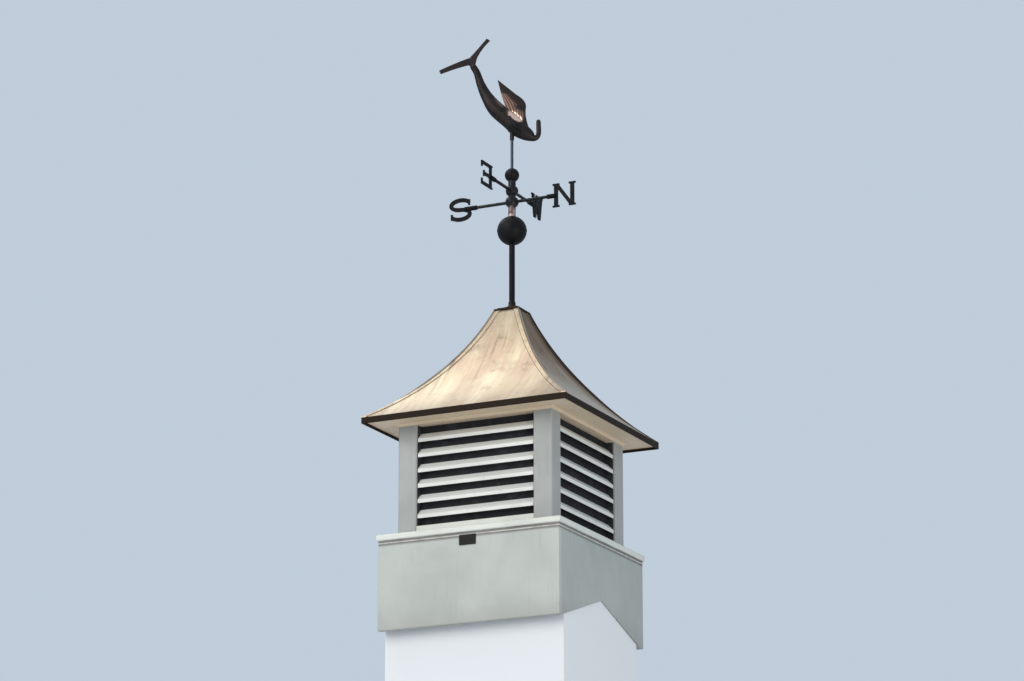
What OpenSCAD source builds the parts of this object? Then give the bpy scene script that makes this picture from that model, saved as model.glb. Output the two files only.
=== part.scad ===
// Louvred roof cupola with a bell-curved copper roof and a turning weathervane.
// Millimetres, +Z up. The origin is on the mast's axis, level with the bottom of the front board.
// The ridge that the base straddles runs along X. The front is -Y and the right side +X.

/* [Base] */
// Outer width of the square base
base_w = 660; // [600:5:740]
// Height of the base boards
base_h = 292; // [260:1:360]
// Thickness of the base boards
board_t = 19; // [15:1:25]
// Slope of the roof that the base straddles, in degrees
saddle_angle = 18.4; // [8:0.1:26]

/* [Sill] */
// How far the sill's nosing stands out past the base boards
sill_out = 6; // [4:1:20]
// Height of the flat band under the nosing
sill_band_h = 8; // [4:1:16]
// Height of the nosing
sill_nosing_h = 22; // [12:1:30]
// Fall of the sill's top from the louvred section out to the nosing
sill_fall = 4; // [2:1:12]

/* [Louvred section] */
// Outer width of the square louvred section
section_w = 566; // [520:2:590]
// Width of a corner post on each face
post_w = 68; // [55:1:90]
// Chamfer on each post's upright corners
post_chamfer = 3; // [1:0.5:8]
// Height of the bottom rails above the sill
bottom_rail_h = 26; // [20:1:60]
// Height of the top rails, which run up inside the roof
top_rail_h = 50; // [30:1:60]
// Depth of the rails, front to back
rail_depth = 45; // [38:1:52]
// Step from the posts' faces back to the rails' faces
rail_reveal = 3; // [1:0.5:8]

/* [Louvres] */
// Number of blades on each side
blade_count = 6; // [4:1:7]
// Height from one blade to the next
blade_pitch = 52; // [46:1:56]
// Gap between the bottom rail and the lowest blade
first_gap = 26; // [20:1:40]
// Height from the foot of the highest blade to the top rail
last_gap = 58; // [50:1:80]
// Thickness of a blade
blade_t = 9; // [6:0.5:12]
// Depth of a blade, front to back
blade_depth = 20; // [14:1:22]
// Slope of the blades, in degrees
blade_angle = 45; // [35:1:50]
// Step from the posts' faces back to the blades' edges
blade_reveal = 6; // [4:0.5:9]
// Thickness of the insect screens
screen_t = 2; // [1:0.5:4]
// Gap between the blades' backs and the screens
screen_gap = 5; // [3:0.5:8]
// Step from the blades' edges back to the screens' folded edges
screen_step = 2; // [1:0.5:6]

/* [Eave] */
// Height of the bed mould, from the top of the louvres to the soffit
bed_mould_h = 11; // [8:1:20]
// How far the bed mould stands out
bed_mould_out = 11; // [8:1:20]
// Thickness of the soffit boards
soffit_t = 12; // [9:1:18]
// Thickness of the eave trim
trim_t = 4; // [2:0.5:8]
// How far the eave trim hangs below the soffit
trim_drop = 8; // [2:0.5:10]

/* [Roof] */
// Width of the square roof over its eaves
roof_w = 750; // [710:2:800]
// Height of the curved roof from the eave's top edge to the peak
roof_rise = 415; // [380:5:460]
// Width of the flat on the roof's peak
peak_w = 84; // [76:2:120]
// Radius of the roof's hollow curve
roof_curve_r = 900; // [850:10:1600]
// Thickness of the roof panels
panel_t = 13; // [9:1:18]
// Width of the caps on the hips
hip_cap_w = 24; // [14:1:36]
// Thickness of the caps on the hips
hip_cap_t = 2.5; // [1.5:0.5:5]
// Height of the block under the peak
block_h = 90; // [60:5:140]
// Wood left under the spindle's foot in the block
block_floor_t = 15; // [10:1:30]

/* [Peak cap and collar] */
// How far the peak cap stands out past the peak
cap_out = 5; // [3:1:12]
// Thickness of each of the peak cap's two steps
cap_step_t = 5; // [3:0.5:9]
// Step in from the lower to the upper plate of the peak cap
cap_step_in = 9; // [4:1:16]
// Width of the round collar at the foot of the mast
collar_d = 62; // [50:1:74]
// Height of the collar
collar_h = 26; // [16:1:40]
// Thickness of the collar's rim
collar_rim_t = 3; // [2:0.5:6]

/* [Mast] */
// Diameter of the thin spindle that carries everything on the mast
spindle_d = 10; // [8:0.5:14]
// Outer diameter of the mast tube
mast_d = 20; // [18:0.5:26]
// Length of the mast tube above the peak cap
mast_tube_h = 232; // [160:1:320]
// Diameter of the globe
globe_d = 102; // [80:1:130]
// Radial clearance of each piece that is slid on the spindle
slide_fit = 0.2; // [0.1:0.05:0.4]
// Diameter of the knob above the compass
knob_d = 50; // [40:1:60]
// Length of bare spindle between the knob and the figure's sleeve
bare_spindle_h = 107; // [60:1:140]

/* [Compass] */
// Height of the north-south arms above their hub's foot
arm_ns_up = 53; // [40:1:64]
// Height of the lower hub above the north-south arms
neck_ns_h = 17; // [16:1:30]
// Height of the east-west arms above their hub's foot
arm_ew_up = 23; // [18:1:36]
// Height of the upper hub above the east-west arms
neck_ew_h = 36; // [20:1:50]
// Diameter of the lower hub's bead
hub_ns_d = 46; // [40:1:50]
// Diameter of the upper hub's bead
hub_ew_d = 44; // [36:1:48]
// Diameter of the necks above the beads
neck_d = 26; // [20:0.5:30]
// Diameter of the arms
arm_d = 11; // [6:0.5:12]
// Distance from the mast to the middle of a letter
letter_r = 198; // [180:1:240]
// Width of a letter
letter_w = 86; // [74:1:100]
// Height of a letter
letter_h = 84; // [76:1:100]
// Thickness of the letter plates
letter_t = 6; // [4:0.5:9]
// Width of a letter's main strokes
stroke_w = 14; // [13:0.5:16]
// Width of the bars of the E
bar_w = 11; // [9:0.5:14]
// Height of the serifs
serif_h = 6; // [4:0.5:8]
// How far a serif stands out past its stroke
serif_out = 5.5; // [3:0.5:7]
// Length of the socket that holds a letter on its arm
socket_l = 20; // [14:1:28]
// Wall of the letter sockets
socket_wall = 2.5; // [2:0.5:4]
// Thickness of a socket's closed end
socket_end_t = 4; // [2:0.5:6]

/* [Weathervane figure] */
// Direction that the figure points in at rest, in degrees from +X
rest_heading = 26; // [0:1:359]
// Size of the figure against the one drawn
figure_scale = 1; // [0.8:0.05:1.2]
// Wall of the sleeve that turns on the spindle
sleeve_wall = 2.4; // [1.6:0.1:6]
// Radial running clearance of the sleeve on the spindle
running_fit = 0.08; // [0.05:0.01:0.1]
// Depth of the sleeve's bore
sleeve_depth = 70; // [50:1:76]
// Thickness of the sleeve's closed end
sleeve_end_t = 4; // [2:0.5:6]
// Length of sleeve that shows below the figure's belly
sleeve_show = 9; // [4:1:24]
// Distance between the tips of the tail
tail_span = 207; // [165:1:240]
// Length of the back fin, from inside the body to its tip
back_fin_l = 170; // [140:1:190]
// How far a side fin reaches out from the middle of the body
side_fin_out = 74; // [60:1:90]
// Thickness of the tail and back fins
fin_t = 8; // [5:0.5:10]
// Thickness of the side fins
side_fin_t = 5; // [4:0.5:8]
// Fullness of the body, side to side against top to bottom
body_fullness = 0.8; // [0.6:0.05:1]

/* [Front plate] */
// Width of the small dark plate under the sill
plate_w = 60; // [40:1:90]
// Height of the small dark plate
plate_h = 34; // [20:1:60]
// Thickness of the small dark plate
plate_t = 4; // [2:0.5:6]

/* [Hidden] */

// A little more than any cut needs, so that no cut ends on a face
over = 1;
// Least width left beside a cove
cove_edge = 2;

// Half widths of the stacked squares
base_r = base_w / 2;
section_r = section_w / 2;
roof_r = roof_w / 2;
peak_r = peak_w / 2;
opening_r = section_r - post_w;

// Heights from the base up to the peak
sill_z = base_h;
nosing_z = sill_z + sill_band_h;
section_z = nosing_z + sill_nosing_h + sill_fall;
louvre_z = section_z + bottom_rail_h;
louvre_h = first_gap + (blade_count - 1) * blade_pitch + last_gap;
louvre_top_z = louvre_z + louvre_h;
post_top_z = louvre_top_z + top_rail_h;
soffit_z = louvre_top_z + bed_mould_h;
eave_z = soffit_z + soffit_t;
peak_z = eave_z + roof_rise;
cap_top_z = peak_z + 2 * cap_step_t;

// Depths of the louvres behind the posts' faces
screen_in = blade_reveal + blade_depth + screen_gap;
blade_l = 2 * (opening_r - screen_t);

// Heights up the mast: each piece stands on the one below, on a flat as wide as its neighbour
spindle_r = spindle_d / 2;
slide_r = spindle_r + slide_fit;
mast_r = mast_d / 2;
globe_r = globe_d / 2;
globe_flat = sqrt(globe_r * globe_r - mast_r * mast_r);
globe_z = cap_top_z + mast_tube_h + globe_flat;
hub_ns_h = arm_ns_up + neck_ns_h;
hub_ew_h = arm_ew_up + neck_ew_h;
hub_ns_z = globe_z + globe_flat;
hub_ew_z = hub_ns_z + hub_ns_h;
knob_r = knob_d / 2;
neck_r = neck_d / 2;
knob_flat = sqrt(knob_r * knob_r - neck_r * neck_r);
knob_z = hub_ew_z + hub_ew_h + knob_flat;
arm_ns_z = hub_ns_z + arm_ns_up;
arm_ew_z = hub_ew_z + arm_ew_up;
sleeve_z = knob_z + knob_flat + bare_spindle_h;
belly_z = sleeve_z + sleeve_show;
sleeve_l = sleeve_depth + sleeve_end_t;
sleeve_bore_r = spindle_r + running_fit;
sleeve_r = sleeve_bore_r + sleeve_wall;
// Half height of a hub's bead, as a share of its radius
bead_share = 0.6;

// Foot and top of the spindle, which ends just short of the sleeve's closed end
end_gap = 0.5;
spindle_foot_z = peak_z - block_h + block_floor_t;
spindle_top_z = sleeve_z + sleeve_depth - end_gap;

// Places along a compass arm
socket_in = letter_r - letter_w / 2 - socket_l;
socket_depth = socket_l - socket_end_t;
arm_end = socket_in + socket_depth - end_gap;
socket_bore_r = arm_d / 2 + slide_fit;
socket_r = socket_bore_r + socket_wall;

// Shapes of the letters: slanted strokes, short spurs, the E's middle bar and the W's foot
slant_half = stroke_w * 0.55;
spur_l = stroke_w * 1.5;
stem_in = serif_out + stroke_w / 2;
e_middle = letter_w * 0.22;
w_foot = letter_w * 0.2;
w_reach = letter_w * 0.22;
s_reach = letter_w * 0.3;

// Middle line of the S: an oval above another, followed from the upper tip to the lower
s_bend_steps = 14;
s_tip_angle = 22;
s_wide = (letter_w - stroke_w) / 2;
s_high = (letter_h - stroke_w) / 4;
s_upper = [for (i = [0 : s_bend_steps])
    let (a = s_tip_angle + (270 - s_tip_angle) * i / s_bend_steps)
    [s_wide * cos(a), s_high + s_high * sin(a)]];
s_lower = [for (i = [s_bend_steps - 1 : -1 : 0]) -s_upper[i]];
s_line = concat(s_upper, s_lower);

// The figure in its own upright plane: x forward of the mast, z above the belly at the mast
// Middle line of the body from tail to bill: x, z, half height
body_line = [
    [-140, 268, 11.5], [-122, 238, 12], [-108, 195, 15], [-87, 150, 20.5], [-56, 105, 28],
    [-12, 66, 30], [24, 31, 29.5], [55, 10, 22.5], [75, -1, 12.5],
    [87, 3, 9], [92, 16, 8.5], [92, 39, 8.5], [91, 66, 7.5]];
body_steps = 3;
ring_sides = 16;
bend_steps = 8;
// Roots of the fins, and how far the side fins are tipped forward, in degrees
tail_root = [-138, 285];
back_fin_root = [10, 50];
side_fin_root = [18, 24];
side_fin_tip = 36;

// Centre of the circle that shapes the roof's hollow curve, which passes through peak and eave
function curve_centre() =
    let (run = roof_r - peak_r)
    let (chord = norm([run, roof_rise]))
    let (out = sqrt(roof_curve_r * roof_curve_r - chord * chord / 4))
    [(roof_r + peak_r) / 2 + roof_rise / chord * out, (peak_z + eave_z) / 2 + run / chord * out];
curve_at = curve_centre();

// Four sides: turned about the mast from the +X side
side_turn = [-90, 90, 180, 0];
front = 0;
back = 1;
left = 2;
right = 3;

// Puts a piece drawn on the +X side on the side asked for
module on_side(side) {
    rotate([0, 0, side_turn[side]]) children();
}

// Stands an outline drawn in X and Z up, and draws it out along Y
module along_side(length) {
    rotate([90, 0, 0]) linear_extrude(height = length, center = true) children();
}

// Wedge of the +X side between its two mitre planes
module mitre_wedge() {
    reach = roof_w;
    linear_extrude(height = cap_top_z + over) polygon([[0, 0], [reach, -reach], [reach, reach]]);
}

// A length of moulding on the +X side, mitred at both ends
module mitred(length) {
    intersection() {
        along_side(length) children();
        mitre_wedge();
    }
}

// Base boards

module plain_board() {
    translate([base_r - board_t, -base_r, 0]) cube([board_t, base_w, base_h]);
}

// The side boards fit between the front and back boards and are cut to the ridge
module saddle_board() {
    half = base_r - board_t;
    notch_h = half * tan(saddle_angle);
    translate([base_r - board_t, 0, 0]) rotate([90, 0, 90]) linear_extrude(height = board_t)
        polygon([[-half, 0], [0, notch_h], [half, 0], [half, base_h], [-half, base_h]]);
}

module base_front() {
    color("#c8cbc6") on_side(front) plain_board();
}

module base_back() {
    color("#c8cbc6") on_side(back) plain_board();
}

module base_left() {
    color("#c8cbc6") on_side(left) saddle_board();
}

module base_right() {
    color("#c8cbc6") on_side(right) saddle_board();
}

// Sill: seat for the louvred section inside, sloped top, rounded nosing and a band outside

module sill_outline() {
    nose_r = base_r + sill_out;
    round_r = min(sill_nosing_h / 3, sill_out);
    polygon([[opening_r, sill_z], [base_r, sill_z], [base_r, nosing_z],
        [nose_r - round_r, nosing_z], [nose_r - round_r, nosing_z + sill_nosing_h],
        [section_r, section_z], [opening_r, section_z]]);
    translate([nose_r - round_r, nosing_z + round_r]) circle(r = round_r, $fn = 48);
    translate([nose_r - round_r, nosing_z + sill_nosing_h - round_r]) circle(r = round_r, $fn = 48);
    translate([nose_r - round_r, nosing_z + round_r]) square([round_r, sill_nosing_h - 2 * round_r]);
}

module sill_piece() {
    mitred(roof_w) sill_outline();
}

module sill_front() {
    color("#dddedb") on_side(front) sill_piece();
}

module sill_back() {
    color("#dddedb") on_side(back) sill_piece();
}

module sill_left() {
    color("#dddedb") on_side(left) sill_piece();
}

module sill_right() {
    color("#dddedb") on_side(right) sill_piece();
}

// Corner posts, rails, louvres and screens

module post(x_side, y_side) {
    low = section_r - post_w;
    c = post_chamfer;
    mirror([x_side < 0 ? 1 : 0, 0, 0]) mirror([0, y_side < 0 ? 1 : 0, 0])
        translate([low, low, section_z]) linear_extrude(height = post_top_z - section_z)
            polygon([[c, 0], [post_w - c, 0], [post_w, c], [post_w, post_w - c],
                [post_w - c, post_w], [c, post_w], [0, post_w - c], [0, c]]);
}

module post_front_left() {
    color("#b9bab4") post(-1, -1);
}

module post_front_right() {
    color("#b9bab4") post(1, -1);
}

module post_back_left() {
    color("#b9bab4") post(-1, 1);
}

module post_back_right() {
    color("#b9bab4") post(1, 1);
}

module rail(z, height) {
    translate([section_r - rail_reveal - rail_depth, -opening_r, z])
        cube([rail_depth, 2 * opening_r, height]);
}

module bottom_rails() {
    color("#d3d4d0") for (side = [front, back, left, right])
        on_side(side) rail(section_z, bottom_rail_h);
}

module top_rails() {
    color("#d3d4d0") for (side = [front, back, left, right])
        on_side(side) rail(louvre_top_z, top_rail_h);
}

// One blade: plumb edges, rising inward at the blade's slope
module blade() {
    rise = blade_depth * tan(blade_angle);
    edge = blade_t / cos(blade_angle);
    along_side(blade_l)
        polygon([[0, 0], [0, edge], [-blade_depth, edge + rise], [-blade_depth, rise]]);
}

module louvre() {
    for (i = [0 : blade_count - 1])
        translate([section_r - blade_reveal, 0, louvre_z + first_gap + i * blade_pitch]) blade();
}

module louvre_front() {
    color("#e4e5e2") on_side(front) louvre();
}

module louvre_back() {
    color("#e4e5e2") on_side(back) louvre();
}

module louvre_left() {
    color("#e4e5e2") on_side(left) louvre();
}

module louvre_right() {
    color("#e4e5e2") on_side(right) louvre();
}

// A screen behind the blades, with its sides folded forward along the posts
module screen() {
    back_x = section_r - screen_in - screen_t;
    fold_x = section_r - blade_reveal - screen_step;
    translate([back_x, -opening_r, louvre_z]) difference() {
        cube([fold_x - back_x, 2 * opening_r, louvre_h]);
        translate([screen_t, screen_t, -over])
            cube([fold_x, 2 * opening_r - 2 * screen_t, louvre_h + 2 * over]);
    }
}

module insect_screens() {
    color("#26272a") for (side = [front, back, left, right])
        on_side(side) screen();
}

// Eave: bed mould under the soffit, flat soffit, and the copper's turned-down edge

module bed_mould() {
    reach = section_r + bed_mould_out;
    color("#cfc8bd") for (side = [front, back, left, right])
        on_side(side) mitred(roof_w) difference() {
            translate([section_r, louvre_top_z]) square([bed_mould_out, bed_mould_h]);
            translate([reach, louvre_top_z])
                circle(r = min(bed_mould_out, bed_mould_h) - cove_edge, $fn = 64);
        }
}

module soffit() {
    outer = roof_w - 2 * trim_t;
    color("#d8c6b8") translate([0, 0, soffit_z]) linear_extrude(height = soffit_t) difference() {
        square(outer, center = true);
        square(section_w, center = true);
    }
}

module eave_trim() {
    color("#4a3020") translate([0, 0, soffit_z - trim_drop]) linear_extrude(height = soffit_t + trim_drop)
        difference() {
            square(roof_w, center = true);
            square(roof_w - 2 * trim_t, center = true);
        }
}

// Roof: four copper panels with one hollow curve, mitred at the hips

module curve_circle(grow) {
    translate(curve_at) circle(r = roof_curve_r + grow, $fn = 720);
}

module panel_outline() {
    intersection() {
        translate([0, eave_z]) square([roof_r, roof_rise]);
        difference() {
            curve_circle(panel_t);
            curve_circle(0);
        }
    }
}

module panel() {
    mitred(roof_w) panel_outline();
}

module roof_front() {
    color("#d9a87e") on_side(front) panel();
}

module roof_back() {
    color("#d9a87e") on_side(back) panel();
}

module roof_left() {
    color("#d9a87e") on_side(left) panel();
}

module roof_right() {
    color("#d9a87e") on_side(right) panel();
}

// Everything inside the hollow curve, grown outward or inward, between two heights
module curved_solid(grow, z_low, z_high) {
    intersection() {
        along_side(roof_w) curved_outline(grow, z_low, z_high);
        rotate([0, 0, 90]) along_side(roof_w) curved_outline(grow, z_low, z_high);
    }
}

module curved_outline(grow, z_low, z_high) {
    difference() {
        translate([-roof_r, z_low]) square([roof_w, z_high - z_low]);
        curve_circle(-grow);
        mirror([1, 0]) curve_circle(-grow);
    }
}

module hip_caps() {
    color("#b98a63") difference() {
        intersection() {
            curved_solid(hip_cap_t, eave_z, peak_z);
            for (turn = [45, 135])
                rotate([0, 0, turn]) translate([-roof_w, -hip_cap_w / 2, 0])
                    cube([2 * roof_w, hip_cap_w, peak_z + over]);
        }
        curved_solid(0, eave_z - over, peak_z + over);
    }
}

module peak_block() {
    color("#a98458") difference() {
        curved_solid(-panel_t, peak_z - block_h, peak_z);
        translate([0, 0, spindle_foot_z]) cylinder(r = slide_r, h = block_h, $fn = 48);
    }
}

module peak_cap() {
    low_w = peak_w + 2 * cap_out;
    high_w = low_w - 2 * cap_step_in;
    color("#5a4634") translate([0, 0, peak_z]) difference() {
        union() {
            translate([-low_w / 2, -low_w / 2, 0]) cube([low_w, low_w, cap_step_t]);
            translate([-high_w / 2, -high_w / 2, 0]) cube([high_w, high_w, 2 * cap_step_t]);
        }
        translate([0, 0, -over]) cylinder(r = slide_r, h = 2 * cap_step_t + 2 * over, $fn = 48);
    }
}

// Mast: everything is threaded on the spindle and stands on the piece below

module mast_collar() {
    collar_r = collar_d / 2;
    bore_r = mast_r + slide_fit;
    cove_r = min(collar_h - collar_rim_t, collar_r - bore_r - cove_edge);
    color("#3c2f28") translate([0, 0, cap_top_z]) rotate_extrude($fn = 96) difference() {
        translate([bore_r, 0]) square([collar_r - bore_r, collar_h]);
        translate([collar_r, collar_rim_t + cove_r]) circle(r = cove_r, $fn = 96);
        translate([collar_r - cove_r, collar_rim_t + cove_r]) square([cove_r + over, collar_h]);
    }
}

module spindle() {
    color("#2b2b2e") translate([0, 0, spindle_foot_z])
        cylinder(r = spindle_r, h = spindle_top_z - spindle_foot_z, $fn = 48);
}

module mast_tube() {
    color("#26282c") translate([0, 0, cap_top_z]) difference() {
        cylinder(r = mast_r, h = mast_tube_h, $fn = 64);
        translate([0, 0, -over]) cylinder(r = slide_r, h = mast_tube_h + 2 * over, $fn = 48);
    }
}

// A ball with a bore, flattened above and below to the width of its neighbours
module bored_ball(ball_r, flat) {
    rotate_extrude($fn = 128) intersection() {
        circle(r = ball_r, $fn = 128);
        translate([slide_r, -flat]) square([ball_r, 2 * flat]);
    }
}

module globe() {
    color("#17191f") translate([0, 0, globe_z]) bored_ball(globe_r, globe_flat);
}

module knob() {
    color("#1d1e22") translate([0, 0, knob_z]) bored_ball(knob_r, knob_flat);
}

// A turned hub: a round bead on a neck, with the arms crossing it
module hub(hub_h, hub_d, foot_r, arm_z) {
    bead_r = hub_d / 2;
    bead_flat = bead_r * bead_share;
    difference() {
        union() {
            cylinder(r1 = foot_r, r2 = neck_r, h = arm_z, $fn = 96);
            cylinder(r = neck_r, h = hub_h, $fn = 96);
            translate([0, 0, arm_z]) rotate_extrude($fn = 96) intersection() {
                circle(r = bead_r, $fn = 96);
                translate([0, -bead_flat]) square([bead_r, 2 * bead_flat]);
            }
            translate([-arm_end, 0, arm_z]) rotate([0, 90, 0])
                cylinder(r = arm_d / 2, h = 2 * arm_end, $fn = 48);
        }
        translate([0, 0, -over]) cylinder(r = slide_r, h = hub_h + 2 * over, $fn = 48);
    }
}

module compass_arm_ns() {
    color("#2a2523") translate([0, 0, hub_ns_z]) hub(hub_ns_h, hub_ns_d, mast_r, arm_ns_up);
}

module compass_arm_ew() {
    color("#2a2523") translate([0, 0, hub_ew_z]) rotate([0, 0, -90])
        hub(hub_ew_h, hub_ew_d, neck_r, arm_ew_up);
}

// Letters, each drawn about its own middle

// An upright stroke with a serif at each end
module stem(x) {
    translate([x, 0]) square([stroke_w, letter_h], center = true);
    for (end = [-1, 1])
        translate([x, end * (letter_h - serif_h) / 2])
            square([stroke_w + 2 * serif_out, serif_h], center = true);
}

// A slanted stroke from the letter's foot to its head
module slant(x_low, x_high) {
    top = letter_h / 2;
    polygon([[x_low - slant_half, -top], [x_low + slant_half, -top],
        [x_high + slant_half, top], [x_high - slant_half, top]]);
}

// A short upright spur, as at the end of a bar or a bend
module spur(place) {
    translate(place) square([serif_h, spur_l], center = true);
}

module letter_n() {
    stem_x = letter_w / 2 - stem_in;
    stem(-stem_x);
    stem(stem_x);
    slant(stem_x, -stem_x);
}

module letter_e() {
    bar_end = letter_w / 2 - serif_out;
    bar_z = (letter_h - bar_w) / 2;
    stem(stem_in - letter_w / 2);
    for (z = [-bar_z, bar_z])
        translate([-bar_end, z - bar_w / 2]) square([2 * bar_end, bar_w]);
    translate([-bar_end, -bar_w / 2]) square([bar_end + e_middle, bar_w]);
    spur([e_middle, 0]);
    for (end = [-1, 1])
        spur([bar_end - serif_h / 2, end * (letter_h - spur_l) / 2]);
}

module letter_w_shape() {
    outer = (letter_w - spur_l) / 2;
    slant(-w_foot, -outer);
    slant(-w_foot, 0);
    slant(w_foot, 0);
    slant(w_foot, outer);
    for (x = [-outer, outer])
        translate([x, (letter_h - serif_h) / 2]) square([spur_l, serif_h], center = true);
}

// Unit vector across a line at one of its points
function across(line, i) =
    let (d = line_at(line, i + 1) - line_at(line, i - 1))
    [-d[1], d[0]] / norm(d);

// A stroke of even width along a line
module stroke(line, width) {
    last = len(line) - 1;
    polygon(concat(
        [for (i = [0 : last]) line[i] + across(line, i) * width / 2],
        [for (i = [last : -1 : 0]) line[i] - across(line, i) * width / 2]));
}

module letter_s() {
    stroke(s_line, stroke_w);
    spur(s_upper[0]);
    spur(-s_upper[0]);
}

// A letter on the +X or -X arm, with its socket
module letter_on_arm(side, reach_in) {
    difference() {
        union() {
            translate([side * letter_r, 0, 0]) along_side(letter_t) children();
            rotate([0, side * 90, 0]) translate([0, 0, socket_in])
                cylinder(r = socket_r, h = socket_l + reach_in, $fn = 48);
        }
        rotate([0, side * 90, 0]) translate([0, 0, socket_in - over])
            cylinder(r = socket_bore_r, h = socket_depth + over, $fn = 48);
    }
}

module letters_ns() {
    color("#202124") translate([0, 0, arm_ns_z]) {
        letter_on_arm(1, stem_in) letter_n();
        letter_on_arm(-1, s_reach) letter_s();
    }
}

module letters_ew() {
    color("#202124") translate([0, 0, arm_ew_z]) rotate([0, 0, -90]) {
        letter_on_arm(1, stem_in) letter_e();
        letter_on_arm(-1, w_reach) letter_w_shape();
    }
}

// Weathervane figure

// Smooth curve through four neighbours of the middle line
function blend(a, b, c, d, t) =
    0.5 * (2 * b + (c - a) * t
        + (2 * a - 5 * b + 4 * c - d) * t * t
        + (3 * b - a - 3 * c + d) * t * t * t);
function line_at(p, i) = p[min(max(i, 0), len(p) - 1)];
function smooth_line(p, steps) = [
    for (i = [0 : len(p) - 2]) for (s = [0 : steps - 1])
        blend(line_at(p, i - 1), line_at(p, i), line_at(p, i + 1), line_at(p, i + 2), s / steps),
    p[len(p) - 1]];

// One oval ring across the middle line
function heading_at(p, i) =
    let (d = line_at(p, i + 1) - line_at(p, i - 1))
    let (flat = [d[0], d[1]])
    flat / norm(flat);
function ring(p, i) =
    let (h = heading_at(p, i))
    [for (k = [0 : ring_sides - 1])
        let (a = 360 * k / ring_sides)
        let (up = p[i][2] * cos(a))
        [p[i][0] + h[1] * up, p[i][2] * body_fullness * sin(a), p[i][1] - h[0] * up]];

function skin_faces(count, sides) = concat(
    [[for (k = [0 : sides - 1]) k]],
    [for (i = [0 : count - 2]) for (k = [0 : sides - 1])
        let (n = (k + 1) % sides)
        [i * sides + k, (i + 1) * sides + k, (i + 1) * sides + n, i * sides + n]],
    [[for (k = [sides - 1 : -1 : 0]) (count - 1) * sides + k]]);

module body_form() {
    line = smooth_line(body_line, body_steps);
    points = [for (i = [0 : len(line) - 1]) each ring(line, i)];
    polyhedron(points = points, faces = skin_faces(len(line), ring_sides), convexity = 6);
}

// Sets the figure's drawn plane over the mast at its heading
module figure_place() {
    translate([0, 0, belly_z]) rotate([0, 0, rest_heading]) scale(figure_scale) children();
}

// Points along a bend from a to b that is pulled towards c
function bend(a, c, b, count) = [
    for (i = [0 : count - 1])
        let (t = i / count)
        (1 - t) * (1 - t) * a + 2 * t * (1 - t) * c + t * t * b];

// The tail's two lobes and the stalk below them, as shares of the tail's span
module tail_outline() {
    lower_tip = [-0.560, -0.184];
    notch = [-0.048, 0.034];
    upper_tip = [0.237, 0.386];
    upper_back = [0.302, 0.340];
    upper_root = [0.078, 0.024];
    lower_root = [-0.063, -0.097];
    lower_back = [-0.527, -0.256];
    translate(tail_root) scale(tail_span) polygon(concat(
        bend(lower_tip, [-0.256, -0.039], notch, bend_steps),
        bend(notch, [0.068, 0.164], upper_tip, bend_steps),
        [upper_tip],
        bend(upper_back, [0.155, 0.198], upper_root, bend_steps),
        [upper_root, [0.048, -0.106], [-0.005, -0.155]],
        bend(lower_root, [-0.256, -0.145], lower_back, bend_steps),
        [lower_back]));
}

// The back fin, with its foot inside the body, as shares of the fin's length
module back_fin_outline() {
    front_foot = [0.294, -0.153];
    front_bend = [0.224, 0.329];
    shoulder = [0.024, 0.635];
    tip = [-0.353, 0.953];
    back_foot = [-0.153, 0.294];
    translate(back_fin_root) scale(back_fin_l) polygon(concat(
        bend(front_foot, [0.200, 0.129], front_bend, bend_steps),
        bend(front_bend, [0.259, 0.494], shoulder, bend_steps),
        bend(shoulder, [-0.153, 0.788], tip, bend_steps),
        bend(tip, [-0.247, 0.471], back_foot, bend_steps),
        [back_foot, [-0.094, 0.094], [0.141, -0.118]]));
}

module vane_sleeve() {
    color("#33302f") translate([0, 0, sleeve_z]) difference() {
        cylinder(r = sleeve_r, h = sleeve_l, $fn = 64);
        translate([0, 0, -over]) cylinder(r = sleeve_bore_r, h = sleeve_depth + over, $fn = 64);
    }
}

module sleeve_space() {
    translate([0, 0, sleeve_z]) cylinder(r = sleeve_r, h = sleeve_l, $fn = 64);
}

module fish_body() {
    color("#4b3a33") difference() {
        figure_place() body_form();
        sleeve_space();
    }
}

module tail_fin() {
    color("#1f2326") figure_place() difference() {
        along_side(fin_t) tail_outline();
        body_form();
    }
}

module back_fin() {
    color("#1c1c1f") figure_place() difference() {
        along_side(fin_t) back_fin_outline();
        body_form();
    }
}

// One side fin, swept back from the body's flank, as shares of its reach
module side_fin() {
    translate([side_fin_root[0], 0, side_fin_root[1]]) rotate([0, side_fin_tip, 0])
        translate([0, 0, -side_fin_t / 2]) linear_extrude(height = side_fin_t) scale(side_fin_out)
            polygon([[0.216, 0.135], [0.189, 0.459], [-0.027, 0.757], [-0.459, 1.000],
                [-0.541, 0.946], [-0.378, 0.595], [-0.297, 0.135]]);
}

module side_fins() {
    color("#241f1e") figure_place() difference() {
        union() {
            side_fin();
            mirror([0, 1, 0]) side_fin();
        }
        body_form();
    }
}

module front_plate() {
    color("#2a2a20") translate([-plate_w / 2, -base_r - plate_t, sill_z - plate_h])
        cube([plate_w, plate_t, plate_h]);
}

base_front();
base_back();
base_left();
base_right();
sill_front();
sill_back();
sill_left();
sill_right();
post_front_left();
post_front_right();
post_back_left();
post_back_right();
bottom_rails();
top_rails();
louvre_front();
louvre_back();
louvre_left();
louvre_right();
insect_screens();
bed_mould();
soffit();
eave_trim();
roof_front();
roof_back();
roof_left();
roof_right();
hip_caps();
peak_block();
peak_cap();
mast_collar();
spindle();
mast_tube();
globe();
compass_arm_ns();
compass_arm_ew();
letters_ns();
letters_ew();
knob();
vane_sleeve();
fish_body();
tail_fin();
back_fin();
side_fins();
front_plate();
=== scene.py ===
import math

import bmesh
import bpy
from bpy.props import FloatProperty, FloatVectorProperty, IntProperty, PointerProperty
from bpy.types import Operator, Panel, PropertyGroup
from mathutils import Matrix, Vector


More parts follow.
